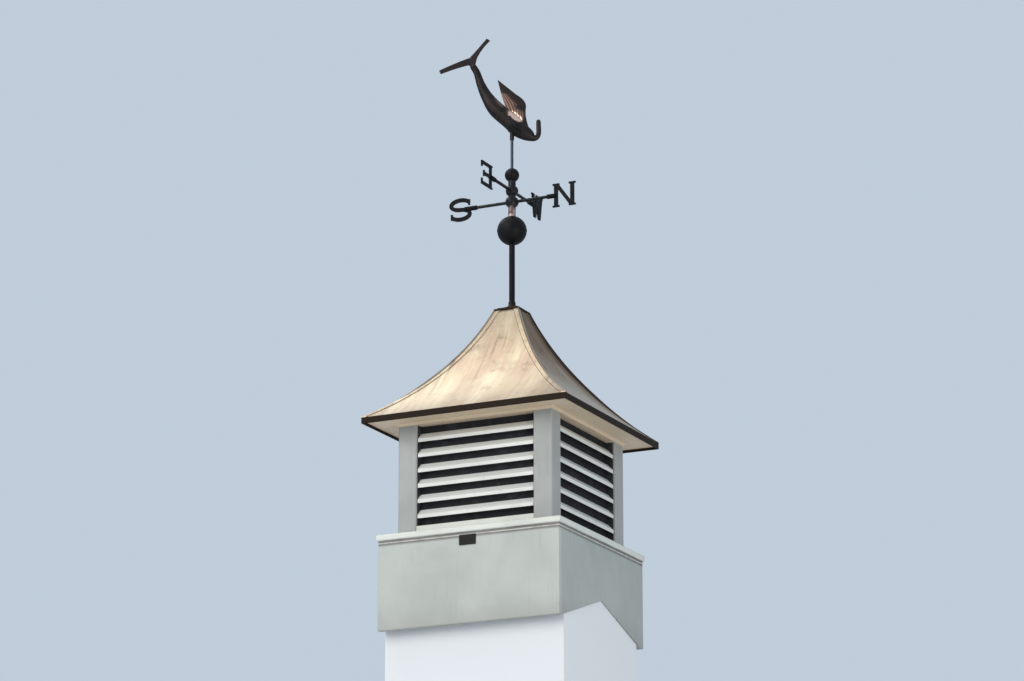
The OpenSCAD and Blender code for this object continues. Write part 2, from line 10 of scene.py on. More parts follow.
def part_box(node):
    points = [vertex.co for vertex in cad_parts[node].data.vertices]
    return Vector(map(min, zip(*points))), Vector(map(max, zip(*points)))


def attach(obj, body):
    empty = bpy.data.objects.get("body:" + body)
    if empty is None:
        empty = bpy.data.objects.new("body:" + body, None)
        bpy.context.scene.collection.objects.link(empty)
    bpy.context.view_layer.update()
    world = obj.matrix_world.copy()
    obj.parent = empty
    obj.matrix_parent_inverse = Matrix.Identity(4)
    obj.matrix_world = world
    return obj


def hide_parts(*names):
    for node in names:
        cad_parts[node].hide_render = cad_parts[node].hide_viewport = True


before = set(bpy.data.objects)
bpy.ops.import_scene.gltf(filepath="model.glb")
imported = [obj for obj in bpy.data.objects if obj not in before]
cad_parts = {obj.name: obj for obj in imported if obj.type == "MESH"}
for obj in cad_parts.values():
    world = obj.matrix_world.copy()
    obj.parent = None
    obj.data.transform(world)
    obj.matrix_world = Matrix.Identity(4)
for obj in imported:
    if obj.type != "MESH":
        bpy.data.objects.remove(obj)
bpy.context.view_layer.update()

bl_info = {
    "name": "Roof cupola with weathervane",
    "version": (1, 0, 0),
    "blender": (4, 5, 0),
    "location": "View3D > Sidebar > Cupola",
    "description": "Finishes and fine detail of a louvred roof cupola, its roof and its weathervane",
    "category": "Object",
}

SIDE_TURNS = {"front": -90.0, "back": 90.0, "left": 180.0, "right": 0.0}
CORNERS = [(1, 1), (-1, 1), (-1, -1), (1, -1)]
UP = Vector((0, 0, 1))
MM = 0.001

# Sizes of the CAD pieces that their boxes don't give
SCREEN_GAP = 0.005
SILL_BAND = 0.008
HIP_CAP_THICKNESS = 0.0025
SADDLE_ANGLE = math.radians(18.4)
SLEEVE_IN_BODY = 0.009

# Sizes that the CAD pieces' boxes give
EAVE_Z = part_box("roof_front")[0].z
PEAK_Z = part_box("roof_front")[1].z
ROOF_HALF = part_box("eave_trim")[1].x
BASE_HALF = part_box("base_front")[1].x
SILL_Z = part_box("sill_front")[0].z
SECTION_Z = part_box("post_front_left")[0].z
SECTION_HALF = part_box("post_front_right")[1].x
OPENING_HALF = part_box("louvre_front")[1].x
SCREEN_LOW_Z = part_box("insect_screens")[0].z
SCREEN_HIGH_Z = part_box("insect_screens")[1].z
SCREEN_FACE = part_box("louvre_right")[0].x - SCREEN_GAP
GLOBE_TOP_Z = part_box("globe")[1].z
BELLY_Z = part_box("vane_sleeve")[0].z + SLEEVE_IN_BODY


def colour_property(name, description, value):
    """A colour that a user can pick, in linear light."""
    return FloatVectorProperty(
        name=name, description=description, default=value, size=3, min=0.0, max=1.0, subtype="COLOR")


def length_property(name, description, value):
    """A length in metres."""
    return FloatProperty(
        name=name, description=description, default=value, min=0.0, unit="LENGTH", precision=5)


def angle_property(name, description, degrees):
    """An angle, given in degrees."""
    return FloatProperty(
        name=name, description=description, default=math.radians(degrees), subtype="ANGLE")


class BoardSettings(PropertyGroup):
    edge_round: length_property("Edge rounding", "Radius of the eased edges of the boards", 0.0016)
    plug_radius: length_property("Plug radius", "Radius of the plugs over the screws", 0.0055)
    plug_rows: IntProperty(
        name="Plug rows", description="Plugs up each corner of the base", default=3, min=1)
    seal_radius: length_property("Seal radius", "Radius of the sealant round the sill", 0.0022)
    board_colour: colour_property("Boards", "Colour of the base boards", (0.425, 0.442, 0.405))
    # Painted shade: a darker copy of the board colour, for the right and back boards
    shaded_board_colour: colour_property("Shaded boards", "Darker base boards on the right and back, as painted shade", (0.36, 0.385, 0.355))
    sill_colour: colour_property("Sill", "Colour of the sill and the rails", (0.62, 0.63, 0.57))
    # Painted shade: the posts are darker than the other white boards, standing for the eave's shade
    shaded_post_colour: colour_property("Posts", "Colour of the corner posts, darkened with painted shade from the eave", (0.335, 0.345, 0.33))
    louvre_colour: colour_property("Louvres", "Colour of the louvre blades", (0.67, 0.67, 0.63))
    # Painted shade: the soffit and the band below it are white board, coloured beige for shade and for
    # bounce light from the copper
    shaded_band_colour: colour_property("Soffit", "Painted shade and copper-coloured bounce light on the soffit and the band below it", (0.67, 0.53, 0.37))
    # Also the painted shadow in the dark lines under the nosings
    grime_and_shadow_colour: colour_property("Grime", "Dirt that has run down the boards, and painted shadow under the nosings", (0.20, 0.19, 0.17))
    seal_colour: colour_property("Sealant", "Colour of the sealant", (0.60, 0.58, 0.52))
    dirty_seal_colour: colour_property("Dirty sealant", "Its dirtiest parts", (0.34, 0.32, 0.28))
    plate_colour: colour_property("Plate", "Colour of the small plate", (0.012, 0.012, 0.008))
    plate_edge_colour: colour_property("Plate edge", "Worn edges of the plate", (0.08, 0.08, 0.06))


class ScreenSettings(PropertyGroup):
    wire_pitch: length_property("Wire pitch", "Distance from one wire to the next", 0.0042)
    wire_radius: length_property("Wire radius", "Radius of the screens' wires", 0.00038)
    colour: colour_property("Screen", "Colour of the insect screens", (0.018, 0.018, 0.021))


class RoofSettings(PropertyGroup):
    curve_radius: length_property("Curve radius", "Radius of the roof's hollow curve", 0.90)
    peak_half: length_property("Peak half width", "Half of the width of the roof's peak", 0.042)
    seam_height: length_property("Seam height", "Height of the folded seams on the hips", 0.0045)
    seam_width: length_property("Seam width", "Width of the folded seams on the hips", 0.0032)
    seam_fade: length_property("Seam fade", "Height over which the seams are dressed down", 0.15)
    nail_radius: length_property("Nail radius", "Radius of the nail heads on the hips", 0.0022)
    nail_pitch: length_property("Nail pitch", "Distance between the nails on the hips", 0.068)
    hem_radius: length_property("Hem radius", "Radius of the rolled hem under the eave", 0.0021)
    bright_colour: colour_property("Bright copper", "Most of the copper", (0.385, 0.310, 0.212))
    cream_colour: colour_property("Pale copper", "Pale streaks of copper", (0.475, 0.405, 0.290))
    rose_colour: colour_property("Rose copper", "Pink patches of copper", (0.355, 0.262, 0.190))
    # Weathered copper, which also serves as the painted shade of the shaded faces
    brown_and_shade_colour: colour_property("Brown copper", "Weathered copper", (0.135, 0.084, 0.050))
    # Painted shade at the back right hip, and the hips' own dark copper
    hip_dark_and_shade_colour: colour_property("Dark copper", "Darkest copper on the hips, with painted shade at the back right hip", (0.028, 0.015, 0.008))
    # Painted shade: the eave's edge and the peak cap are nearly black
    shaded_edge_colour: colour_property("Edge copper", "Painted shade: eave's edge and peak cap", (0.016, 0.009, 0.005))
    worn_eave_colour: colour_property("Worn eave", "Rubbed edge of the eave", (0.08, 0.045, 0.015))
    worn_cap_colour: colour_property("Worn cap", "Rubbed edges of the peak cap", (0.16, 0.09, 0.05))
    timber_colour: colour_property("Timber", "Colour of the block inside", (0.56, 0.37, 0.20))
    ring_colour: colour_property("Timber rings", "Colour of the timber's rings", (0.40, 0.24, 0.12))


class MastSettings(PropertyGroup):
    seam_proud: length_property("Seam height", "How far the globe's seam stands proud", 0.0009)
    seam_width: length_property("Seam width", "Width of the seam round the globe", 0.0036)
    screw_radius: length_property("Screw radius", "Radius of the set screws", 0.0026)
    bronze_colour: colour_property("Bronze", "Mast, globe and compass", (0.0045, 0.0045, 0.0055))
    worn_colour: colour_property("Worn bronze", "Rubbed edges of the bronze", (0.10, 0.07, 0.05))
    hub_rubbed_and_highlight_colour: colour_property("Hub copper", "Rubbed copper and a painted highlight low on the hubs", (0.50, 0.36, 0.34))
    steel_colour: colour_property("Steel", "Colour of the bare spindle", (0.050, 0.060, 0.075))


class FigureSettings(PropertyGroup):
    heading: angle_property("Heading", "Direction that the figure points in at rest", 26.0)
    fullness: FloatProperty(
        name="Fullness", description="Width of the body against its height",
        default=0.80, min=0.4, max=1.0)
    fin_thickness: length_property("Fin thickness", "Thickness of the tail and back fin", 0.0075)
    side_fin_thickness: length_property("Side fins", "Thickness of the side fins", 0.0046)
    eye_radius: length_property("Eye radius", "Radius of the eyes", 0.0042)
    back_colour: colour_property("Back", "Figure's dark back and fins", (0.009, 0.0088, 0.0098))
    # Rubbed copper, and the painted light near the back fin
    flank_rubbed_and_lit_colour: colour_property("Flank", "Rubbed copper on the flanks, and painted light near the back fin", (0.17, 0.10, 0.075))
    # Painted highlight: the bright spot on the body where the back fin starts
    bright_colour: colour_property("Painted highlight", "Painted highlight on the body", (0.90, 0.64, 0.52))


class StageSettings(PropertyGroup):
    azimuth: angle_property("Azimuth", "Direction of the camera round the cupola", 26.0)
    distance: length_property("Distance", "Level distance from the camera to the mast", 11.887)
    eye_drop: length_property("Eye drop", "How far the camera is below the base", 2.375)
    aim_height: length_property("Aim height", "Height that the camera is aimed at", 1.035)
    lens: FloatProperty(
        name="Lens", description="Focal length in millimetres", default=128.0, min=1.0)
    floor_drop: length_property("Floor drop", "How far the floor is below the base", 3.9)
    floor_radius: length_property("Floor radius", "Radius of the round floor", 400.0)
    stand_half: length_property("Stand half width", "Half of the width of the stand", 0.285)
    floor_colour: colour_property("Floor", "Colour of the floor and the stand", (0.72, 0.73, 0.74))
    sky_colour: colour_property("Backdrop", "Backdrop and its light", (0.66, 0.76, 0.88))


class CupolaSettings(PropertyGroup):
    boards: PointerProperty(type=BoardSettings)
    screens: PointerProperty(type=ScreenSettings)
    roof: PointerProperty(type=RoofSettings)
    mast: PointerProperty(type=MastSettings)
    figure: PointerProperty(type=FigureSettings)
    stage: PointerProperty(type=StageSettings)


# Node trees


class Tree:
    """Adds nodes to a node tree, fills their sockets and joins them."""

    def __init__(self, tree):
        self.tree = tree

    def feed(self, socket, value):
        if isinstance(value, bpy.types.NodeSocket):
            self.tree.links.new(value, socket)
        else:
            socket.default_value = value

    def add(self, kind, feeds=None, **settings):
        made = self.tree.nodes.new(kind)
        for name, value in settings.items():
            setattr(made, name, value)
        for socket, value in (feeds or {}).items():
            self.feed(made.inputs[socket], value)
        return made

    def math(self, operation, a, b=0.0, clamp=False):
        feeds = {0: a, 1: b}
        return self.add("ShaderNodeMath", feeds, operation=operation, use_clamp=clamp).outputs[0]

    def plus(self, a, b):
        return self.math("ADD", a, b)

    def minus(self, a, b):
        return self.math("SUBTRACT", a, b)

    def times(self, a, b):
        return self.math("MULTIPLY", a, b)

    def size(self, a):
        return self.math("ABSOLUTE", a)

    def vector(self, operation, a, b, output="Vector"):
        return self.add("ShaderNodeVectorMath", {0: a, 1: b}, operation=operation).outputs[output]

    def parts(self, vector):
        return self.add("ShaderNodeSeparateXYZ", {0: vector}).outputs

    def mix(self, factor, a, b):
        return self.add("ShaderNodeMix", {0: factor, 6: a, 7: b}, data_type="RGBA").outputs[2]

    def remap(self, value, low, high, to_low=0.0, to_high=1.0):
        feeds = {0: value, 1: low, 2: high, 3: to_low, 4: to_high}
        return self.add("ShaderNodeMapRange", feeds, interpolation_type="SMOOTHSTEP").outputs[0]

    def spread(self, mask, low, high):
        """Turns a mask into numbers from low, where it is clear, to high, where it is full."""
        return self.remap(mask, 0.0, 1.0, low, high)

    def stretch(self, vector, scale):
        return self.add("ShaderNodeMapping", {"Vector": vector, "Scale": scale}).outputs[0]

    def noise(self, vector, scale, detail=4.0, roughness=0.55, distortion=0.0):
        feeds = {"Vector": vector, "Scale": scale, "Detail": detail, "Roughness": roughness,
                 "Distortion": distortion}
        return self.add("ShaderNodeTexNoise", feeds).outputs[0]

    def wander(self, vector, scale, width, detail=4.0):
        """Noise about nought, of a given width."""
        return self.times(self.minus(self.noise(vector, scale, detail), 0.5), width)

    def place(self):
        return self.add("ShaderNodeTexCoord").outputs["Object"]

    def mask(self, name, **feeds):
        """One of the masks that finishes share."""
        return self.add("ShaderNodeGroup", feeds, node_tree=mask_group(name)).outputs[0]


def fill_mottle(tree, given):
    """Cloudy patches."""
    cloud = tree.noise(
        given["Place"], given["Scale"], detail=6.0, roughness=0.6, distortion=0.3)
    return tree.remap(cloud, given["Low"], given["High"])


def fill_run_marks(tree, given):
    """Marks that rain has drawn down a board."""
    drawn = tree.stretch(given["Place"], (1.0, 1.0, 0.07))
    runs = tree.noise(drawn, given["Scale"], detail=5.0, roughness=0.65)
    marks = tree.remap(runs, given["Low"], given["High"])
    broken = tree.remap(tree.noise(given["Place"], 9.0, detail=3.0), 0.35, 0.62)
    return tree.times(marks, broken)


def fill_fall_marks(tree, given):
    """Streaks that run down the four faces of a hip roof."""
    x, y, z = tree.parts(given["Place"])
    front = tree.math("LESS_THAN", tree.size(x), tree.size(y))
    across = tree.plus(y, tree.times(front, tree.minus(x, y)))
    feeds = {0: across, 1: front, 2: tree.times(z, given["Draw"])}
    drawn = tree.add("ShaderNodeCombineXYZ", feeds).outputs[0]
    streaks = tree.noise(drawn, given["Scale"], detail=5.0, roughness=0.6)
    return tree.remap(streaks, given["Low"], given["High"])


def fill_edge_wear(tree, given):
    """Edges that hands and weather have rubbed bright."""
    rounded = tree.add("ShaderNodeBevel", {"Radius": given["Radius"]}, samples=4).outputs[0]
    plain = tree.add("ShaderNodeNewGeometry").outputs["Normal"]
    edge = tree.remap(tree.vector("DOT_PRODUCT", rounded, plain, "Value"), 0.995, 0.90)
    broken = tree.remap(tree.noise(tree.place(), given["Scale"]), 0.35, 0.6)
    return tree.times(edge, broken)


def fill_hip_shade(tree, given):
    """Painted shade: a dark margin along the roof's four hips."""
    x, y = tree.parts(given["Place"])[:2]
    off = tree.size(tree.minus(tree.size(x), tree.size(y)))
    ragged = tree.times(tree.noise(given["Place"], 24.0), given["Width"])
    return tree.remap(tree.plus(off, ragged), given["Width"], tree.times(given["Width"], 0.3))


def fill_level_shade(tree, given):
    """A margin between two heights, for dirt, painted shade and a painted highlight."""
    height = tree.parts(given["Place"])[2]
    wander = tree.wander(given["Place"], 14.0, given["Wander"], detail=5.0)
    return tree.remap(tree.plus(height, wander), given["Clear"], given["Full"])


def fill_far_shade(tree, given):
    """Painted shade that grows towards the roof's back right hip."""
    x, y = tree.parts(given["Place"])[:2]
    reach = tree.math("MAXIMUM", tree.size(x), tree.size(y))
    share = tree.math("DIVIDE", tree.plus(x, y), reach)
    wander = tree.wander(given["Place"], 11.0, 0.5)
    return tree.remap(tree.plus(share, wander), given["Low"], given["High"])


def fill_stripe(tree, given):
    """A soft stripe between two places of the upright plane."""
    level = tree.vector("MULTIPLY", given["Place"], (1.0, 0.0, 1.0))
    run = tree.vector("SUBTRACT", given["End"], given["Start"])
    off = tree.vector("SUBTRACT", level, given["Start"])
    along, whole = [tree.vector("DOT_PRODUCT", v, run, "Value") for v in (off, run)]
    share = tree.math("DIVIDE", along, whole, clamp=True)
    away = tree.vector("DISTANCE", off, tree.vector("MULTIPLY", run, share), "Value")
    return tree.remap(away, given["Width"], tree.times(given["Width"], 0.25))


# The masks that finishes share, with their inputs. An input without a number is a vector
MASKS = {
    "Mottle": (fill_mottle, {"Place": None, "Scale": 10.0, "Low": 0.4, "High": 0.6}),
    "Run Marks": (fill_run_marks, {"Place": None, "Scale": 60.0, "Low": 0.55, "High": 0.75}),
    "Fall Marks": (
        fill_fall_marks, {"Place": None, "Scale": 20.0, "Draw": 0.15, "Low": 0.4, "High": 0.6}),
    "Edge Wear": (fill_edge_wear, {"Radius": 0.001, "Scale": 60.0}),
    "Hip Shade": (fill_hip_shade, {"Place": None, "Width": 0.03}),
    "Level Band": (fill_level_shade, {"Place": None, "Full": 0.0, "Clear": 0.1, "Wander": 0.05}),
    "Far Shade": (fill_far_shade, {"Place": None, "Low": 1.2, "High": 1.95}),
    "Stripe": (fill_stripe, {"Place": None, "Start": None, "End": None, "Width": 0.012}),
}


def mask_group(name):
    """The node group of a shared mask, made when it is first asked for."""
    group = bpy.data.node_groups.get(name)
    if group:
        return group
    fill, inputs = MASKS[name]
    group = bpy.data.node_groups.new(name, "ShaderNodeTree")
    for socket_name, value in inputs.items():
        kind = "NodeSocketVector" if value is None else "NodeSocketFloat"
        socket = group.interface.new_socket(socket_name, in_out="INPUT", socket_type=kind)
        if value is not None:
            socket.default_value = value
    group.interface.new_socket("Mask", in_out="OUTPUT", socket_type="NodeSocketFloat")
    tree = Tree(group)
    source = tree.add("NodeGroupInput")
    target = tree.add("NodeGroupOutput")
    tree.feed(target.inputs[0], fill(tree, source.outputs))
    return group


class Finish(Tree):
    """A new material's node tree, with its principled shader."""

    def __init__(self, name):
        self.material = bpy.data.materials.new(name)
        self.material.use_nodes = True
        super().__init__(self.material.node_tree)
        self.shader = self.tree.nodes["Principled BSDF"]

    def set(self, socket, value):
        self.feed(self.shader.inputs[socket], value)

    def set_bump(self, height, distance, strength):
        feeds = {"Height": height, "Strength": strength, "Distance": distance}
        self.set("Normal", self.add("ShaderNodeBump", feeds).outputs[0])


def rgba(colour, share=1.0):
    return (colour[0] * share, colour[1] * share, colour[2] * share, 1.0)


# Finishes


def board_finish(name, colour, grime_and_shadow, roughness, runs, foot=0.0, line=None):
    """White cellular board, faintly uneven.

    runs is the share of dirt in its run marks, and foot the share by which it darkens towards the
    foot of the base. line is a dark line of dirt with painted shadow: the heights where it is full and
    where it is clear, and its share.
    """
    tree = Finish(name)
    place = tree.place()
    tone = tree.mask("Mottle", Place=place, Scale=5.0, Low=0.3, High=0.7)
    speck = tree.mask("Mottle", Place=place, Scale=160.0, Low=0.62, High=0.74)
    marks = tree.mask("Run Marks", Place=place, Scale=70.0)
    # Darker towards the foot of the base
    low = tree.mask("Level Band", Place=place, Full=-0.05, Clear=0.10, Wander=0.06)
    face = tree.mix(tone, rgba(colour, 0.93), rgba(colour, 1.03))
    layers = [(marks, runs, 1.0), (low, foot, 1.0)]
    if line:
        full, clear, share = line
        # Dirt with a painted shadow under a nosing
        dirt = tree.mask("Level Band", Place=place, Full=full, Clear=clear, Wander=0.004)
        layers.append((dirt, share, 0.5))
    layers.append((speck, 0.16, 1.0))
    for mask, share, depth in layers:
        face = tree.mix(tree.times(mask, share), face, rgba(grime_and_shadow, depth))
    tree.set("Base Color", face)
    tree.set("Roughness", tree.spread(tone, roughness + 0.08, roughness - 0.06))
    grain = tree.noise(tree.stretch(place, (1.0, 1.0, 0.5)), 420.0, detail=3.0)
    tree.set_bump(grain, distance=0.00025, strength=0.35)
    return tree.material


def copper_finish(name, roof, deep, upper_shade=0.0, top=0.0, far=0.0, hips=0.0, far_hip_shade=0.0):
    """Copper sheet: rosy patches, pale and brown streaks down the slope, and soft dents.

    The numbers are shares of painted shade, darkening it to the deep colour: on all but the foot of a
    face, near the peak, towards the back right hip, along the hips, and along the hips on that far
    side.
    """
    tree = Finish(name)
    place = tree.place()
    rose_place = tree.stretch(place, (1.0, 1.0, 0.6))
    rose = tree.mask("Mottle", Place=rose_place, Scale=6.5, Low=0.40, High=0.62)
    pale = tree.mask("Fall Marks", Place=place, Scale=13.0, Draw=0.22, Low=0.44, High=0.66)
    marks = tree.mask("Fall Marks", Place=place, Scale=55.0, Draw=0.07, Low=0.52, High=0.74)
    brown = tree.mask("Mottle", Place=place, Scale=19.0, Low=0.50, High=0.76)
    hip_shade_mask = tree.mask("Hip Shade", Place=place, Width=0.026)
    far_shade_mask = tree.mask("Far Shade", Place=place)
    top_shade_mask = tree.mask(
        "Level Band", Place=place, Full=PEAK_Z - 0.12, Clear=PEAK_Z - 0.24, Wander=0.05)
    upper_shade_mask = tree.mask(
        "Level Band", Place=place, Full=EAVE_Z + 0.17, Clear=EAVE_Z + 0.03, Wander=0.05)
    warm = tree.mix(rose, rgba(roof.bright_colour), rgba(roof.rose_colour))
    warm = tree.mix(pale, warm, rgba(roof.cream_colour))
    # Brown mottle and streaks are patina; the shares below add painted shade
    aged_and_shaded = tree.plus(tree.times(brown, 0.30), tree.times(marks, 0.34))
    for mask, share in (
            (hip_shade_mask, hips), (tree.times(hip_shade_mask, far_shade_mask), far_hip_shade), (far_shade_mask, far),
            (top_shade_mask, top), (upper_shade_mask, upper_shade)):
        if share:
            aged_and_shaded = tree.plus(aged_and_shaded, tree.times(mask, share))
    aged_and_shaded = tree.math("MINIMUM", aged_and_shaded, 1.0)
    tree.set("Base Color", tree.mix(aged_and_shaded, warm, rgba(deep)))
    tree.set("Metallic", tree.spread(aged_and_shaded, 1.0, 0.35))
    tree.set("Roughness", tree.spread(aged_and_shaded, 0.37, 0.66))
    tree.set("Specular IOR Level", 0.3)
    dents = tree.noise(tree.stretch(place, (1.0, 1.0, 0.3)), 7.0, detail=2.0)
    rolled = tree.noise(tree.stretch(place, (1.0, 1.0, 0.05)), 900.0, detail=2.0)
    height = tree.plus(dents, tree.times(rolled, 0.02))
    tree.set_bump(height, distance=0.004, strength=0.4)
    return tree.material


def dark_copper_finish(name, dark, bright, radius, wear, metallic, roughness, gloss):
    """Nearly black weathered copper. Its edges are rubbed to the bright colour, over a radius."""
    tree = Finish(name)
    place = tree.place()
    cloud = tree.mask("Mottle", Place=place, Scale=30.0, Low=0.35, High=0.7)
    edges = tree.mask("Edge Wear", Radius=radius, Scale=55.0)
    body = tree.mix(cloud, rgba(dark, 0.75), rgba(dark, 1.6))
    tree.set("Base Color", tree.mix(tree.times(edges, wear), body, rgba(bright)))
    tree.set("Metallic", metallic)
    tree.set("Specular IOR Level", gloss)
    tree.set("Roughness", tree.spread(cloud, roughness - 0.08, roughness + 0.10))
    tree.set_bump(tree.noise(place, 260.0), distance=0.0004, strength=0.25)
    return tree.material


def hub_finish(name, mast):
    """Nearly black copper, rubbed to a rosy colour just above the globe, which is partly a painted
    highlight.
    """
    tree = Finish(name)
    place = tree.place()
    low = tree.mask(
        "Level Band", Place=place, Full=GLOBE_TOP_Z + 0.012, Clear=GLOBE_TOP_Z + 0.045,
        Wander=0.02)
    cloud = tree.mask("Mottle", Place=place, Scale=60.0, Low=0.34, High=0.62)
    # Rubbed copper and a painted highlight just above the globe
    rubbed = tree.times(low, tree.spread(cloud, 0.2, 0.9))
    body = tree.mix(cloud, rgba(mast.bronze_colour, 0.8), rgba(mast.bronze_colour, 1.8))
    tree.set("Base Color", tree.mix(rubbed, body, rgba(mast.hub_rubbed_and_highlight_colour)))
    tree.set("Metallic", tree.spread(rubbed, 0.5, 1.0))
    tree.set("Roughness", tree.spread(cloud, 0.54, 0.42))
    tree.set_bump(tree.noise(place, 260.0), distance=0.0003, strength=0.25)
    return tree.material


def steel_finish(name, colour):
    """Weathered steel rod with fine turning marks."""
    tree = Finish(name)
    place = tree.place()
    cloud = tree.mask("Mottle", Place=place, Scale=70.0, Low=0.4, High=0.7)
    tree.set("Base Color", tree.mix(cloud, rgba(colour), rgba(colour, 1.4)))
    tree.set("Metallic", 0.8)
    tree.set("Roughness", tree.spread(cloud, 0.42, 0.58))
    turning = tree.noise(tree.stretch(place, (0.1, 0.1, 1.0)), 1800.0, detail=2.0)
    tree.set_bump(turning, distance=0.0001, strength=0.15)
    return tree.material


def screen_finish(name, colour, pitch):
    """Fine black woven screen: raised threads, finer than the wires that are modelled."""
    tree = Finish(name)
    place = tree.place()
    finer = 2.5
    turn = 2.0 * math.pi * finer / pitch
    x, y, z = [tree.math("SINE", tree.times(part, turn)) for part in tree.parts(place)]
    net = tree.math("MAXIMUM", tree.math("MAXIMUM", x, y), z)
    dust = tree.mask("Mottle", Place=place, Scale=26.0, Low=0.45, High=0.75)
    tree.set("Base Color", tree.mix(dust, rgba(colour), rgba(colour, 2.2)))
    tree.set("Roughness", 0.7)
    tree.set_bump(net, distance=0.0004, strength=0.6)
    return tree.material


def timber_finish(name, roof):
    """Plain sawn softwood."""
    tree = Finish(name)
    drawn = tree.stretch(tree.place(), (1.0, 0.12, 1.0))
    feeds = {"Vector": drawn, "Scale": 26.0, "Distortion": 5.0, "Detail": 3.0}
    rings = tree.add("ShaderNodeTexWave", feeds).outputs[1]
    fibre = tree.noise(drawn, 480.0, detail=3.0)
    tree.set("Base Color", tree.mix(rings, rgba(roof.timber_colour), rgba(roof.ring_colour)))
    tree.set("Roughness", tree.spread(fibre, 0.6, 0.85))
    tree.set_bump(fibre, distance=0.0005, strength=0.5)
    return tree.material


def seal_finish(name, boards):
    """Slightly yellowed sealant."""
    tree = Finish(name)
    dirt = tree.mask("Mottle", Place=tree.place(), Scale=40.0, Low=0.4, High=0.75)
    dirty = rgba(boards.dirty_seal_colour)
    tree.set("Base Color", tree.mix(dirt, rgba(boards.seal_colour), dirty))
    tree.set("Roughness", tree.spread(dirt, 0.45, 0.7))
    return tree.material


def figure_finish(name, figure, patch_low):
    """Weathered copper: nearly black, rubbed brown in patches, and painted light in brown about the
    back fin.

    Where the back fin starts there is a painted highlight, a bright ragged spot, fainter on the far
    flank.
    """
    tree = Finish(name)
    place = tree.place()
    feeds = {"Vector": place, "Angle": -figure.heading}
    level = tree.add("ShaderNodeVectorRotate", feeds, rotation_type="Z_AXIS").outputs[0]
    level = tree.vector("SUBTRACT", level, (0.0, 0.0, BELLY_Z))
    rubbed = tree.mask("Mottle", Place=place, Scale=24.0, Low=patch_low, High=patch_low + 0.2)
    drawn = tree.stretch(level, (1.0, 1.0, 1.6))
    ragged = tree.noise(drawn, 90.0, detail=7.0, roughness=0.75)
    wear = tree.mask("Edge Wear", Radius=0.0012, Scale=70.0)
    # Painted light: brown on the flank near the back fin, as if lit from above
    painted_light_band = tree.mask(
        "Stripe", Place=level, Start=(-0.034, 0.0, 0.138), End=(0.018, 0.0, 0.080), Width=0.038)
    painted_light_band = tree.remap(tree.plus(painted_light_band, ragged), 0.70, 1.30)
    # Painted highlight: a bright ragged spot where the back fin starts
    patch = tree.mask(
        "Stripe", Place=level, Start=(0.001, 0.0, 0.083), End=(0.022, 0.0, 0.065), Width=0.027)
    patch = tree.remap(tree.plus(tree.times(patch, 0.64), ragged), 0.78, 1.10)
    # The painted highlight is fainter on the far flank
    far_flank = tree.remap(tree.parts(level)[1], -0.002, 0.002, 1.0, 0.30)
    patch = tree.times(patch, far_flank)
    brown = tree.times(rubbed, tree.plus(tree.times(painted_light_band, 0.90), 0.10))
    body = tree.mix(brown, rgba(figure.back_colour), rgba(figure.flank_rubbed_and_lit_colour))
    body = tree.mix(tree.times(wear, 0.18), body, rgba(figure.flank_rubbed_and_lit_colour, 1.5))
    tree.set("Base Color", tree.mix(patch, body, rgba(figure.bright_colour)))
    tree.set("Metallic", tree.spread(patch, 0.7, 1.0))
    tree.set("Roughness", tree.spread(brown, 0.50, 0.36))
    tree.set_bump(tree.noise(place, 300.0), distance=0.0004, strength=0.3)
    return tree.material


def stage_finish(name, colour):
    """Plain pale card."""
    tree = Finish(name)
    tone = tree.mask("Mottle", Place=tree.place(), Scale=0.6, Low=0.2, High=0.8)
    tree.set("Base Color", tree.mix(tone, rgba(colour, 0.985), rgba(colour, 1.015)))
    tree.set("Roughness", 0.85)
    return tree.material


# Shapes


def clothe(finish, *names):
    """Gives CAD nodes their finish."""
    for name in names:
        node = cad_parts[name]
        if not node.material_slots:
            node.data.materials.append(finish)
        for slot in node.material_slots:
            slot.material = finish


def ease_edges(width, *names):
    """Rounds the sharp edges of CAD nodes a little, with modifiers only."""
    for name in names:
        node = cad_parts[name]
        weld = node.modifiers.new("Join corners", "WELD")
        weld.merge_threshold = 0.00001
        flat = node.modifiers.new("Clear flats", "DECIMATE")
        flat.decimate_type = "DISSOLVE"
        flat.angle_limit = math.radians(0.4)
        bevel = node.modifiers.new("Ease edges", "BEVEL")
        bevel.width = width
        bevel.segments = 3
        bevel.limit_method = "ANGLE"
        bevel.angle_limit = math.radians(30.0)
        normals = node.modifiers.new("Even shading", "WEIGHTED_NORMAL")
        normals.keep_sharp = True


def finish_piece(name, bm, finish, body="cupola", replaces=(), crease=40.0):
    """Turns a bmesh into a piece that rides on a body, smooth but for edges sharper than crease."""
    bmesh.ops.recalc_face_normals(bm, faces=bm.faces)
    for face in bm.faces:
        face.smooth = True
    for edge in bm.edges:
        edge.smooth = edge.calc_face_angle(0.0) < math.radians(crease)
    mesh = bpy.data.meshes.new(name)
    bm.to_mesh(mesh)
    bm.free()
    mesh.materials.append(finish)
    made = bpy.data.objects.new(name, mesh)
    bpy.context.scene.collection.objects.link(made)
    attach(made, body)
    if replaces:
        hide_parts(*replaces)


def skin(bm, rings, looped=False):
    """Joins closed rings of points with faces. The ends are capped, or joined if looped."""
    rows = [[bm.verts.new(p) for p in ring] for ring in rings]
    count = len(rows[0])
    pairs = list(zip(rows, rows[1:]))
    if looped:
        pairs.append((rows[-1], rows[0]))
    for low, high in pairs:
        for i in range(count):
            j = (i + 1) % count
            bm.faces.new((low[i], low[j], high[j], high[i]))
    if not looped:
        bm.faces.new(list(reversed(rows[0])))
        bm.faces.new(rows[-1])


def angles(count):
    """Angles of a full turn in equal steps."""
    return [2 * math.pi * i / count for i in range(count)]


